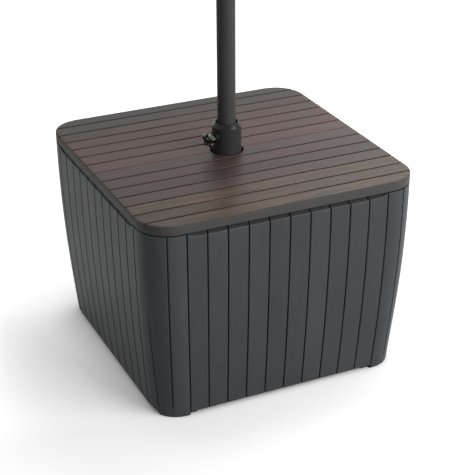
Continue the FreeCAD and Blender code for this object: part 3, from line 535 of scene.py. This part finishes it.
def recess_section(across, depth_here):
    """(depth, height, painted shade, painted lip highlight) up the finger recess; its lip curves up to the
    rim at its ends.
    """
    past = min(max((abs(across) - RECESS_END) / RECESS_END_ROUND + 1.0, 0.0), 1.0)
    room = math.sqrt(1.0 - past ** 2)
    end_depth = min(RECESS_END_DEPTH, depth_here)
    deepest = depth_here + (end_depth - depth_here) * fraction(abs(across), *RECESS_EASE)
    deepest *= min(1.0, RECESS_RUN_OUT * room)
    section = []
    for depth, rise, shadow in RECESS_SHAPE:
        height = SKIN_TOP - RECESS_HEIGHT * room * (1.0 - rise)
        lip = 1.0 if LIP_RISE[0] < rise < LIP_RISE[1] else 0.0
        section.append((deepest * depth, height, shadow, lip))
    return section


def foot_round(z, floor):
    """Rounding of a lower edge, as a depth."""
    return quarter_round(z - floor, FOOT_ROUND)


def panel_point(across, depth, z):
    """Point of the front panel behind a place across the rim, at a depth into the wall and a height."""
    y = wall(z) - depth
    return across * (APEX + y) / REACH, -y, z


def panel_columns():
    """(place across, groove depth) of the panel's outer face, from left to right."""
    edge = JOINT_AT - JOINT_GAP
    curve_start = RECESS_END - RECESS_END_ROUND
    columns = [(-edge, SKIN)] + groove_columns(-JOINT_AT, left=False)
    for step in range(1 - SLAT_STEPS, SLAT_STEPS - 1):
        low = groove_at(step) + GROOVE_SHAPE[-1][0]
        high = groove_at(step + 1) - GROOVE_SHAPE[-1][0]
        parts = RECESS_PARTS if max(high, -low) > curve_start else SLAT_PARTS
        columns += [(low + (high - low) * part / parts, 0.0) for part in range(1, parts)]
        columns += groove_columns(groove_at(step + 1), right=step + 1 < SLAT_STEPS - 1)
    return columns + [(edge, SKIN)]


def slat_number(across):
    """Number of the slat or board at a distance from the middle."""
    count = sum(abs(across) > groove_at(step) for step in range(1, SLAT_STEPS + 1))
    return count if across >= 0 else -1 - count


def side_panel(side, angle):
    """Slatted panel: bowed, grooved outer face, finger recess, ledge inside."""
    shell = Shell()
    rings = []
    for across, groove_depth in panel_columns():
        tone = tone_of(slat_number(across), angle)
        groove = groove_depth / SKIN
        recess = recess_section(across, RECESS_DEPTHS[side])
        ring = []
        for sunk, z, shadow, lip in [(0.0, z, 0.0, 0.0) for z in PANEL_ROWS] + recess:
            depth = groove_depth + foot_round(z, PANEL_FLOOR) + sunk
            # The grooves and the finger recess carry painted shade, and the recess lip a painted highlight
            ring.append(shell.point(panel_point(across, depth, z), tone=tone, shade=1.0,
                                    groove=max(groove, shadow), rim=lip))
        gap_depth = max(SKIN, recess[-1][0] + groove_depth) + GAP_EXTRA
        # The gap under the rim is painted as black shade
        for z in (SKIN_TOP, RIM_FLOOR):
            ring.append(shell.point(panel_point(across, gap_depth, z), tone=tone, shade=1.0, groove=1.0))
        ledge = PANEL_WALL + (LEDGE_DEPTH if abs(across) < LEDGE_END else 0.0)
        ledge_floor = RIM_FLOOR - LEDGE_HEIGHT
        inside = [(ledge, RIM_FLOOR), (ledge, ledge_floor)]
        inside += [(PANEL_WALL, z) for z in (ledge_floor, *INNER_ROWS, PANEL_FLOOR)]
        for depth, z in inside:
            ring.append(shell.point(panel_point(across, depth, z), tone=tone, shade=1.0))
        rings.append(ring)
    shell.solid(rings)
    shell.turn(angle)
    node = "side_panel_" + side
    return shell.finish(node + "_slats", "table", [node], LOOKS["slat_resin"])


# Corner posts

# Heights between which a post's groove comes in, and the short one runs out
POST_GROOVE_START = (20.0, 27.0)
SHORT_GROOVE_END = (205.0, 265.0)
SHORT_GROOVE_SHARE = 0.45
# Tone of the posts, and the lightness of each, which is painted light and shade
POST_TONE = 0.5
POST_PAINTED_LIGHT = {"front_left": 1.19, "front_right": 0.9, "rear_right": 0.98, "rear_left": 1.0}
# Way that the groove on a corner points, seen from above
FAN_SLOPE = groove_at(SLAT_STEPS) / REACH
FAN_LEAN = math.atan(FAN_SLOPE)
# Radius of the corners at the floor, and the height from which they have their full radius
FOOT_CORNER = 60.0
FOOT_CORNER_TOP = 120.0
EIGHTH_TURN = math.pi / 4
ARC_STEPS = 6
POST_ROWS = ([POST_FLOOR + step for step in FOOT_STEPS] + [12.0, 20.0, 22.0, 24.0, 26.0, 29.0]
             + [50.0 + ROW_SPACING * row for row in range(16)] + [424.0, SKIN_TOP])


def corner_radius(z):
    """Radius of the posts at a height; it tightens towards the floor."""
    return CORNER - (CORNER - FOOT_CORNER) * max(1.0 - z / FOOT_CORNER_TOP, 0.0) ** 2


def corner_groove(z):
    """Angle round the corner, from where it starts, of the groove on it."""
    radius = corner_radius(z)
    centre = wall(z) - radius
    offset = (FAN_SLOPE * (APEX + centre) - centre) / radius
    return FAN_LEAN + math.asin(offset * math.cos(FAN_LEAN))


def corner_point(angle, depth, z):
    """Point of the front-left corner, at an angle from the start of its curve on the front."""
    centre = wall(z) - corner_radius(z)
    radius = corner_radius(z) - depth
    return -centre - radius * math.sin(angle), -centre - radius * math.cos(angle)


def fan_point(across, depth, z):
    """Point of the front wall left of the middle by a distance across at the rim."""
    x, y, _ = panel_point(-across, depth, z)
    return x, y


def post_outer(z, short):
    """(x, y, groove share, rise) of half of a post's outer face, from a joint to its diagonal.

    The half to the side has a short groove, and the slat before that groove ends above the foot."""
    cut = fraction(z, *POST_GROOVE_START)
    if short:
        cut *= SHORT_GROOVE_SHARE * (1.0 - fraction(z, *SHORT_GROOVE_END))
    floor = PANEL_FLOOR if short else POST_FLOOR
    level = max(z, floor)
    foot = foot_round(level, floor)
    rise = level - z
    places = []
    # Slat from the joint to the corner's groove
    for offset, share in [(JOINT_GAP, 1.0), *GROOVE_SHAPE[1:]]:
        depth = SKIN * share + foot
        places.append((*fan_point(JOINT_AT + offset, depth, level), share, rise))
    places.append((*corner_point(0.0, foot, level), 0.0, rise))
    middle = corner_groove(level)
    before = 0.5 * (middle - GROOVE_SHAPE[-1][0] / corner_radius(level))
    places.append((*corner_point(before, foot, level), 0.0, rise))
    for offset, share in reversed(GROOVE_SHAPE[1:]):
        angle = middle - offset / corner_radius(level)
        depth = SKIN * share * cut + foot
        places.append((*corner_point(angle, depth, level), share * cut, rise))
    # Rest of the corner up to its diagonal
    foot = foot_round(z, POST_FLOOR)
    middle = corner_groove(z)
    for offset, share in GROOVE_SHAPE[1:]:
        angle = middle + offset / corner_radius(z)
        depth = SKIN * share * cut + foot
        places.append((*corner_point(angle, depth, z), share * cut, 0.0))
    start = middle + GROOVE_SHAPE[-1][0] / corner_radius(z)
    for step in range(1, ARC_STEPS + 1):
        angle = start + (EIGHTH_TURN - start) * step / ARC_STEPS
        places.append((*corner_point(angle, foot, z), 0.0, 0.0))
    return places


def post_inner(z, short):
    """(x, y, groove share, rise) of half of a post's inner face and lap, from diagonal to joint."""
    level = max(z, PANEL_FLOOR if short else POST_FLOOR)
    places = [(*corner_point(EIGHTH_TURN, LAP_DEPTH, z), 0.0, 0.0)]
    for step in reversed(range(ARC_STEPS)):
        places.append((*corner_point(EIGHTH_TURN * step / ARC_STEPS, LAP_DEPTH, level), 0.0, level - z))
    lap_start = JOINT_AT - LAP_WIDTH
    lap_end = JOINT_AT + JOINT_GAP
    for across, depth in ((lap_start, LAP_DEPTH), (lap_start, POST_WALL), (lap_end, POST_WALL)):
        places.append((*fan_point(across, depth, level), 0.0, level - z))
    return places


def mirrored(places):
    """Other half of a corner, in reverse order, without the point on the diagonal."""
    return [(place[1], place[0], *place[2:]) for place in reversed(places[:-1])]


def pulled(place, z, depth):
    """Place on a post's outer face moved in to a depth, along the line to the corner's centre."""
    centre = corner_radius(z) - wall(z)
    x, y = place[0], place[1]
    if x > centre:
        return x, max(y, depth - wall(z))
    offset = Vector((x - centre, y - centre))
    offset.length = min(offset.length, corner_radius(z) - depth)
    return centre + offset.x, centre + offset.y


def post_outline(z, first_short, pull):
    """(x, y, groove share, rise) round a post at a height, with its outer face pulled in by a depth."""
    halves = [post_outer(z, first_short), post_outer(z, not first_short)]
    if pull:
        # Points pulled into the gap under the rim carry full painted shade
        halves = [[(*pulled(place, z, pull), 1.0, 0.0) for place in half] for half in halves]
    inner = [post_inner(z, first_short), post_inner(z, not first_short)]
    back = [(y, x, share, rise) for x, y, share, rise in reversed(inner[1])] + inner[0][1:]
    return halves[0] + mirrored(halves[1]) + back


def gusset_outline():
    """Outline of the web across the inside of a post, over its foot."""
    inside = wall(GUSSET_TOP) - POST_WALL
    tip = (wall(0.0) - CORNER) * math.sqrt(2) + CORNER - POST_WALL
    reach = (tip - GUSSET_REACH) * math.sqrt(2) - inside
    angles = [EIGHTH_TURN * step / ARC_STEPS for step in range(2 * ARC_STEPS + 1)]
    arc = [corner_point(angle, POST_WALL, GUSSET_TOP) for angle in angles]
    return [(-reach, -inside)] + arc + [(-inside, -reach)]


def corner_post(corner, angle):
    """Rounded post: long groove to the front or rear, short one to the side, laps and a gusset."""
    shell = Shell()
    # A post's shade value is painted light and shade
    look = {"tone": POST_TONE, "shade": POST_PAINTED_LIGHT[corner]}
    levels = [(z, 0.0, 0.0) for z in POST_ROWS] + [(SKIN_TOP, SKIN, 0.0), (SKIN_TOP, SKIN, SHADOW_GAP)]
    rows = []
    for z, pull, lift in levels:
        row = []
        for x, y, share, rise in post_outline(z, angle % 180 != 0, pull):
            # A groove's share also gives its painted shade
            row.append(shell.point((x, y, z + lift + rise), groove=share, **look))
        rows.append(row)
    shell.solid(rows)
    shell.prism(gusset_outline(), GUSSET_FLOOR, GUSSET_TOP, **look)
    shell.turn(angle)
    node = "corner_post_" + corner
    return shell.finish(node + "_slats", "table", [node], LOOKS["slat_resin"])


# Half tops

BOARD_GROOVE = 2.5
BOARD_GROOVE_SHAPE = (
    (0.0, 1.0), (2.15, 1.0), (2.25, 0.5), (2.45, 0.16), (2.7, 0.04), (3.0, 0.0), (3.5, 0.0),
)
# Print of each board, from the seam outwards: tone (low is grey, middling reddish, high tan) and lightness
FRONT_BOARDS = (
    (0.4, 0.98), (0.38, 0.94), (0.28, 0.88), (0.4, 0.98), (0.97, 0.87), (0.84, 0.97), (0.98, 0.91),
)
REAR_BOARDS = (
    (0.55, 1.1), (0.6, 1.02), (0.6, 1.0), (0.66, 0.95), (0.84, 0.8), (0.2, 0.84), (0.03, 0.8),
)
STRAIGHT = HALF - CORNER
EDGE_ROUND = 1.3
EDGE_STEPS = (0.0, 0.12, 0.35, 0.75, EDGE_ROUND)
RIM_STEPS = (0.0, 0.06, 0.2, 0.45, 0.8, 1.0, 1.4, RIM_ROUND)
# The print ends at this distance from the outline
RIM_EDGE = 0.9
# Distances from the hole and from the outline where a board's even stretch starts and ends, and its parts
HOLE_MARGIN = 3.0
RIM_MARGIN = 12.0
BOARD_PARTS = 10
# Degrees between the points of the hole and of a corner, and the least distance between rows
HOLE_TURN = 6.0
CORNER_TURN = 5.0
CLOSEST_ROWS = 0.05
# Upright score across the rim on the left and right: its distance from the seam, half its width, its depth
SCORES = {"front": 228.0, "rear": 190.0}
SCORE_HALF = 0.6
SCORE_DEPTH = 1.0
# Section of the rim downwards: (height, share of the wall's thickness, whether the score cuts it)
RIM_SECTION = (
    (TABLE_TOP - 3.0, 0.0, True),
    (RIM_FLOOR + 1.2, 0.0, True),
    (RIM_FLOOR + 0.4, 0.03, True),
    (RIM_FLOOR, 0.1, False),
    (RIM_FLOOR, 1.0, False),
    (TABLE_TOP - TOP_SKIN, 1.0, False),
)
# Ribs and tab start clear of the wall below and end inside the boards
RIB_CLEARANCE = 0.2
RIB_TOP = TABLE_TOP - TOP_SKIN + 1.0
# Two places closer than this are the same
NEAR = 0.02


def rim_distance(x, away):
    """Distance in from the outline of the top, where away is the distance from the seam's middle line."""
    if abs(x) > STRAIGHT and away > STRAIGHT:
        return CORNER - math.hypot(abs(x) - STRAIGHT, away - STRAIGHT)
    return HALF - max(abs(x), away)


def outline_end(away):
    """Half length of the top at a distance from its middle line."""
    if away <= STRAIGHT:
        return HALF
    return STRAIGHT + math.sqrt(max(CORNER ** 2 - (away - STRAIGHT) ** 2, 0.0))


def hole_end(away):
    """Half width of the pole hole at a distance from the middle line."""
    return math.sqrt(max(HOLE_RADIUS ** 2 - away ** 2, 0.0))


def groove_share(away):
    """Share of a board groove's depth at a distance from the middle line."""
    offset = min(abs(away - groove_at(step)) for step in range(1, SLAT_STEPS + 1))
    for (near, high), (far, low) in zip(BOARD_GROOVE_SHAPE, BOARD_GROOVE_SHAPE[1:]):
        if offset <= far:
            return high + (low - high) * (offset - near) / (far - near)
    return 0.0


def board_rows(score):
    """Distances from the middle line at which the top is sampled, with some for a score across the rim."""
    rows = [SEAM_FACE + step for step in EDGE_STEPS]
    hole_steps = range(1, round(90 / HOLE_TURN) + 1)
    rows += [HOLE_RADIUS * math.sin(math.radians(HOLE_TURN * step)) for step in hole_steps]
    for step in range(1, SLAT_STEPS + 1):
        rows += [groove_at(step) + sign * offset for offset, _ in BOARD_GROOVE_SHAPE for sign in (-1, 1)]
        rows.append((groove_at(step - 1) + groove_at(step)) / 2)
    corner_steps = range(round(90 / CORNER_TURN))
    rows += [STRAIGHT + CORNER * math.sin(math.radians(CORNER_TURN * step)) for step in corner_steps]
    rows += [score + offset for offset in (-SCORE_HALF, 0.0, SCORE_HALF)]
    rows += [HALF - step for step in RIM_STEPS]
    kept = []
    for row in sorted(row for row in rows if row >= SEAM_FACE):
        if not kept or row - kept[-1] > CLOSEST_ROWS:
            kept.append(row)
    return kept


def rectangle(left, front, right, rear):
    """Corners of a rectangle."""
    return [(left, front), (right, front), (right, rear), (left, rear)]


def add_boards(shell, score, boards):
    """Upper face of a half top, to the left and right of its middle."""
    for sign in (-1, 1):
        grid = []
        for away in board_rows(score):
            outer, inner = outline_end(away), hole_end(away)
            near = [inner + step for step in (*EDGE_STEPS, HOLE_MARGIN)]
            far = [outer - step for step in (RIM_MARGIN, *reversed(RIM_STEPS))]
            room = far[0] - near[-1]
            middle = [near[-1] + room * part / BOARD_PARTS for part in range(1, BOARD_PARTS)]
            tone, shade = boards[slat_number(away)]
            groove = groove_share(away)
            row = []
            for x in near + middle + far:
                edge = rim_distance(x, away)
                rim = 1.0 if edge < RIM_EDGE else 0.0
                drop = max(BOARD_GROOVE * groove, quarter_round(edge, RIM_ROUND),
                           quarter_round(away - SEAM_FACE, EDGE_ROUND),
                           quarter_round(math.hypot(x, away) - HOLE_RADIUS, EDGE_ROUND))
                # A board groove's share also gives its painted shade
                row.append(shell.point((sign * x, -away, TABLE_TOP - drop), tone=tone, shade=shade,
                                       groove=groove, rim=rim))
            grid.append(row)
        for first, second in zip(grid, grid[1:]):
            shell.strip(first, second)
    bmesh.ops.remove_doubles(shell.bm, verts=shell.bm.verts, dist=WELD * MM)


def add_ribs(shell):
    """Ribs and a locating tab under a half top."""
    for step in (-1, 0, 1):
        left = step * RIB_SPACING - RIB_WIDTH / 2
        start = HOLE_RADIUS if step == 0 else SEAM_FACE + RIM_WALL / 2
        outline = rectangle(left, RIM_WALL / 2 - HALF, left + RIB_WIDTH, -start)
        shell.prism(outline, RIM_FLOOR + RIB_CLEARANCE, RIB_TOP, rim=1.0)
    outline = rectangle(-TAB_LENGTH / 2, -TAB_FACE, TAB_LENGTH / 2, RIB_WIDTH - TAB_FACE)
    shell.prism(outline, RIM_FLOOR - TAB_DROP, RIB_TOP, rim=1.0)


def edge_loop(bm):
    """Points of the open edge of a mesh, in order."""
    neighbours = {}
    for edge in bm.edges:
        if edge.is_boundary:
            one, other = edge.verts
            neighbours.setdefault(one, []).append(other)
            neighbours.setdefault(other, []).append(one)
    start = next(iter(neighbours))
    loop = [start]
    previous, current = None, start
    while True:
        onward = [vert for vert in neighbours[current] if vert is not previous]
        previous, current = current, onward[0]
        if current is start:
            return loop
        loop.append(current)


def wall_offset(x, y):
    """Way in from a place on the edge of a front half top to the back of its wall."""
    offset = Vector((0.0, 0.0))
    away = -y
    if abs(math.hypot(x, y) - HOLE_RADIUS) < NEAR:
        offset += Vector((x, y)).normalized() * HOLE_WALL
    if abs(away - SEAM_FACE) < NEAR:
        offset.y -= RIM_WALL
    if abs(rim_distance(x, away)) < NEAR:
        if away > STRAIGHT and abs(x) > STRAIGHT:
            out = Vector((abs(x) - STRAIGHT, away - STRAIGHT)).normalized()
            offset += Vector((-math.copysign(out.x, x), out.y)) * RIM_WALL
        elif away >= abs(x):
            offset.y += RIM_WALL
        else:
            offset.x -= math.copysign(RIM_WALL, x)
    return offset


def add_rim(shell, score):
    """Rim with its score, walls at the seam and the hole, and the underside of a half top's boards."""
    loop = edge_loop(shell.bm)
    places = [(vert.co.x / MM, vert.co.y / MM) for vert in loop]
    offsets = [wall_offset(x, y) for x, y in places]
    tones = [vert[shell.layers["tone"]] for vert in loop]
    rows = [loop]
    for z, share, scored in RIM_SECTION:
        row = []
        for (x, y), offset, tone in zip(places, offsets, tones):
            push = offset * share
            if scored and abs(abs(y) - score) < 2 * CLOSEST_ROWS and abs(abs(x) - HALF) < NEAR:
                push = push + offset.normalized() * SCORE_DEPTH
            row.append(shell.point((x + push.x, y + push.y, z), tone=tone, rim=1.0))
        rows.append(row)
    for first, second in zip(rows, rows[1:]):
        shell.strip(first, second, closed=True)
    shell.face(*rows[-1])


def half_top(half, angle, body, boards):
    """Boards over a rim, with the pole hole's notch at the seam, ribs and a locating tab below."""
    shell = Shell()
    add_boards(shell, SCORES[half], boards)
    add_rim(shell, SCORES[half])
    add_ribs(shell)
    shell.turn(angle)
    node = "top_" + half
    return shell.finish(node + "_boards", body, [node], LOOKS["board_resin"])


# Turned and lobed pieces of the stand

# Upper end of the sleeve from its side over its shoulder and in: (way in, way down, painted shade, polish)
SHOULDER = (
    (0.0, 9.7, 0.0, 0.0), (0.1, 8.4, 0.3, 0.5), (0.4, 7.8, 0.55, 1.0), (5.9, 0.9, 0.55, 1.0),
    (6.3, 0.3, 0.6, 1.0), (6.8, 0.0, 0.7, 0.5), (7.4, 0.1, 0.8, 0.0), (8.0, 0.5, 0.9, 0.0),
    (8.0, 6.0, 1.0, 0.0), (4.5, 6.0, 1.0, 0.0),
)
# The shoulder's own look, darker as painted shade and glossier, starts this far below the top
SHOULDER_DROP = 8.5
SLEEVE_WALL = 4.5
SLEEVE_ROUND = 0.6
# Knob from its underside to the middle of its face: (way out along the screw, size, 1 where it has lobes).
# The size is a radius, or the share of the lobes' radius where it has lobes.
KNOB_PROFILE = (
    (0.0, 4.2, 0), (0.0, 7.4, 0), (0.4, 8.0, 0), (5.1, 8.0, 0), (5.5, 8.6, 0),
    (5.5, 0.78, 1), (5.8, 0.86, 1), (6.6, 0.94, 1), (7.9, 0.99, 1), (9.5, 1.0, 1), (14.5, 1.0, 1),
    (16.1, 0.99, 1), (17.4, 0.94, 1), (18.2, 0.86, 1), (18.5, 0.77, 1), (18.4, 0.62, 1),
    (17.7, 9.0, 0), (17.5, 6.0, 0), (17.7, 5.4, 0), (18.1, 4.8, 0), (18.1, 0.02, 0),
)
KNOB_START = 42.0
KNOB_SEGMENTS = 120
LOBES = 5
LOBE_RADIUS = 14.9
LOBE_SWING = 3.0


def lathe(name, profile, body, nodes, slot, segments=96):
    """Piece turned about the upright axis from a closed profile of (radius, height, painted shade, polish).
    """
    shell = Shell()
    rings = []
    for step in range(segments):
        angle = 2 * math.pi * step / segments
        ring = []
        for radius, z, painted_shade, polish in profile:
            place = (radius * math.cos(angle), radius * math.sin(angle), z)
            ring.append(shell.point(place, groove=painted_shade, rim=polish))
        rings.append(ring)
    for first, second in zip(rings, rings[1:] + rings[:1]):
        shell.strip(first, second, closed=True)
    return shell.finish(name, body, nodes, LOOKS[slot])


def sleeve_collar():
    """Sleeve round the stand tube; its sloping shoulder is smoother and mirrors what stands behind it.

    Painted shade darkens the shoulder and the bore.
    """
    profile = [
        (SLEEVE_RADIUS - SLEEVE_WALL, SLEEVE_FLOOR, 0.0, 0.0),
        (SLEEVE_RADIUS - SLEEVE_ROUND, SLEEVE_FLOOR, 0.0, 0.0),
        (SLEEVE_RADIUS, SLEEVE_FLOOR + SLEEVE_ROUND, 0.0, 0.0),
    ]
    for inward, down, painted_shade, polish in SHOULDER:
        profile.append((SLEEVE_RADIUS - inward, SLEEVE_TOP - down, painted_shade, polish))
    collar = lathe("tube_sleeve_collar", profile, "table", ["tube_sleeve"], "stand_coat")
    # Darker copy of the stand's coat on the shoulder: painted shade, with more gloss
    shoulder_shade_coat = coated_metal("shoulder_painted_shade_look", (0.004, 0.0039, 0.0039), 0.46, 1100.0, 0.27)
    collar.data.materials.append(shoulder_shade_coat)
    for face in collar.data.polygons:
        if face.center.z > (SLEEVE_TOP - SHOULDER_DROP) * MM:
            face.material_index = 1


def star_knob():
    """Star knob with soft lobes, a dished face and a round hub, on the axis of the clamp's screw."""
    shell = Shell()
    joints = {joint["name"]: joint for joint in frame["record"]["behaviour"]["joints"]}
    screw = joints["clamp_turn"]
    out = Vector(screw["axis"])
    middle = Vector(screw["pos_m"]) / MM
    down = Vector((0.0, 0.0, -1.0))
    aside = out.cross(down)
    rings = []
    for step in range(KNOB_SEGMENTS):
        angle = 2 * math.pi * step / KNOB_SEGMENTS
        spoke = down * math.cos(angle) + aside * math.sin(angle)
        lobe = LOBE_RADIUS - LOBE_SWING * math.cos(LOBES * angle)
        ring = []
        for reach, size, lobed in KNOB_PROFILE:
            radius = size * lobe if lobed else size
            ring.append(shell.point(middle + out * (KNOB_START + reach) + spoke * radius))
        rings.append(ring)
    for first, second in zip(rings, rings[1:] + rings[:1]):
        shell.strip(first, second)
    shell.face(*[ring[0] for ring in rings])
    shell.face(*[ring[-1] for ring in rings])
    look = LOOKS["trim_plastic"]
    return shell.finish("clamp_knob_star", "clamp_screw", ["clamp_knob"], look, sharp=50)


for side, angle in SIDES.items():
    side_panel(side, angle)
for corner, angle in CORNERS.items():
    corner_post(corner, angle)
half_top("front", 0, "table", FRONT_BOARDS)
half_top("rear", 180, "lid", REAR_BOARDS)
sleeve_collar()
star_knob()


# Floor, light and camera, in metres

FLOOR_HALF = 30.0
FLOOR_WHITE = (0.97, 0.97, 0.97)
FLOOR_BOUNCE = (0.45, 0.45, 0.45)
AMBIENT = 0.24
# Painted light on the floor: white that the eye sees besides the lit floor, which shapes the soft shadow
# round the
# table: an even part, a part that grows with (distance from the foot of the table, strength) and with
# (place towards the rear, factor), and the highest sum of both
EVEN_GLOW = 0.225
FLOOR_GLOW = (
    (0.045, 0.0), (0.07, 0.06), (0.1, 0.13), (0.14, 0.19), (0.24, 0.235), (0.47, 0.54), (0.72, 0.8),
)
GLOW_MIDDLE = (0.05, -0.05, 0.0)
GLOW_TILT = ((-0.24, 0.36), (0.4, 1.9))
HIGHEST_GLOW = 0.75
# Share of that white which is left close to the foot: (distance, share), counted from inside the foot
CONTACT_SHARE = ((0.005, 0.0), (0.011, 0.5), (0.018, 0.9), (0.03, 1.0))
CONTACT_START = 0.01
CONTACT_MIDDLE = (0.005, 0.0, 0.0)
CAMERA_PLACE = (-1.13849, -2.49311, 1.61159)
CAMERA_YAW = -25.0206
CAMERA_PITCH = 26.5215
CAMERA_ROLL = -0.1899
CAMERA_LENS = 102.997
CAMERA_SENSOR = 36.0


def seen_directly(tree):
    """1 where the eye or a mirror looks at a surface, 0 where the surface only lights others."""
    paths = add(tree, "ShaderNodeLightPath")
    return math_node(tree, "MAXIMUM", paths.outputs["Is Camera Ray"], paths.outputs["Is Glossy Ray"])


def grey_ramp(tree, factor, stops):
    """Value read off a line of (place, value) stops."""
    return ramp(tree, factor, [(place, (value, value, value)) for place, value in stops])


def foot_distance(tree, place, middle):
    """Distance of a place outside the table's footprint, taken round a middle."""
    flat = (wall(0.0) - FOOT_CORNER) * MM
    zero = (0.0, 0.0, 0.0)
    edge = (flat, flat, 0.0)
    steps = (("SUBTRACT", middle), ("ABSOLUTE", zero), ("SUBTRACT", edge), ("MAXIMUM", zero))
    for operation, other in steps:
        place = add(tree, "ShaderNodeVectorMath", {0: place, 1: other}, operation=operation).outputs[0]
    distance = add(tree, "ShaderNodeVectorMath", {0: place}, operation="LENGTH").outputs["Value"]
    return math_node(tree, "SUBTRACT", distance, FOOT_CORNER * MM)


def floor_glow(tree):
    """Strength of the painted light on the floor, which rises with the distance from the foot of the table.
    """
    place = add(tree, "ShaderNodeTexCoord").outputs["Object"]
    rearward = add(tree, "ShaderNodeSeparateXYZ", {0: place}).outputs["Y"]
    tilt = span(tree, rearward, *GLOW_TILT[1], *GLOW_TILT[0])
    far = grey_ramp(tree, foot_distance(tree, place, GLOW_MIDDLE), FLOOR_GLOW)
    glow = math_node(tree, "ADD", product(tree, far, tilt), EVEN_GLOW)
    glow = math_node(tree, "MINIMUM", glow, HIGHEST_GLOW)
    near = math_node(tree, "ADD", foot_distance(tree, place, CONTACT_MIDDLE), CONTACT_START)
    return product(tree, glow, grey_ramp(tree, near, CONTACT_SHARE))


def add_floor():
    """Wide floor: white to the eye with painted light round the table, pale grey as a source of bounced
    light.
    """
    mesh = bpy.data.meshes.new("floor")
    corners = rectangle(-FLOOR_HALF, -FLOOR_HALF, FLOOR_HALF, FLOOR_HALF)
    mesh.from_pydata([(x, y, 0.0) for x, y in corners], [], [(0, 1, 2, 3)])
    floor = bpy.data.objects.new("floor", mesh)
    bpy.context.scene.collection.objects.link(floor)
    material = bpy.data.materials.new("floor_look")
    material.use_nodes = True
    tree = material.node_tree
    tree.nodes.clear()
    bounce = add(tree, "ShaderNodeBsdfDiffuse", {"Color": (*FLOOR_BOUNCE, 1.0)})
    white = add(tree, "ShaderNodeBsdfDiffuse", {"Color": (*FLOOR_WHITE, 1.0)})
    glow = add(tree, "ShaderNodeEmission", {"Strength": floor_glow(tree)})
    seen = add(tree, "ShaderNodeAddShader", {0: white.outputs[0], 1: glow.outputs[0]})
    sockets = {0: seen_directly(tree), 1: bounce.outputs[0], 2: seen.outputs[0]}
    choice = add(tree, "ShaderNodeMixShader", sockets)
    add(tree, "ShaderNodeOutputMaterial", {"Surface": choice.outputs[0]})
    mesh.materials.append(material)


def add_world():
    """White surroundings: plain white to the eye, softer as light."""
    world = bpy.data.worlds.new("surroundings")
    bpy.context.scene.world = world
    world.use_nodes = True
    tree = world.node_tree
    tree.nodes.clear()
    white = (1.0, 1.0, 1.0, 1.0)
    ambient = add(tree, "ShaderNodeBackground", {"Color": white, "Strength": AMBIENT})
    plain = add(tree, "ShaderNodeBackground", {"Color": white, "Strength": 1.0})
    sockets = {0: seen_directly(tree), 1: ambient.outputs[0], 2: plain.outputs[0]}
    choice = add(tree, "ShaderNodeMixShader", sockets)
    add(tree, "ShaderNodeOutputWorld", {"Surface": choice.outputs[0]})


def add_lamp(name, place, aim, size, power):
    """Soft rectangular lamp aimed at a point."""
    lamp = bpy.data.lights.new(name, "AREA")
    lamp.shape = "RECTANGLE"
    lamp.size, lamp.size_y = size
    lamp.energy = power
    item = bpy.data.objects.new(name, lamp)
    bpy.context.scene.collection.objects.link(item)
    item.location = place
    item.rotation_euler = (Vector(aim) - Vector(place)).to_track_quat("-Z", "Y").to_euler()


def add_camera():
    """Camera at the photo's viewpoint."""
    data = bpy.data.cameras.new("camera")
    data.sensor_width = CAMERA_SENSOR
    data.sensor_fit = "HORIZONTAL"
    data.lens = CAMERA_LENS
    camera = bpy.data.objects.new("camera", data)
    bpy.context.scene.collection.objects.link(camera)
    yaw = Matrix.Rotation(math.radians(CAMERA_YAW), 4, "Z")
    tilt = Matrix.Rotation(math.radians(90.0 - CAMERA_PITCH), 4, "X")
    roll = Matrix.Rotation(math.radians(CAMERA_ROLL), 4, "Z")
    camera.matrix_world = Matrix.Translation(CAMERA_PLACE) @ yaw @ tilt @ roll
    bpy.context.scene.camera = camera


add_floor()
add_world()
add_lamp("right_lamp", place=(1.56, -2.4, 1.45), aim=(0.0, 0.0, 0.35), size=(2.5, 2.0), power=99.0)
add_lamp("left_lamp", place=(-1.9, 1.3, 0.3), aim=(-0.3, 0.0, 0.15), size=(2.0, 0.5), power=1.2)
add_lamp("top_lamp", place=(1.3, 0.7, 2.0), aim=(0.0, 0.0, 0.4), size=(2.2, 2.2), power=21.0)
add_camera()
bpy.context.scene.view_settings.view_transform = "Standard"
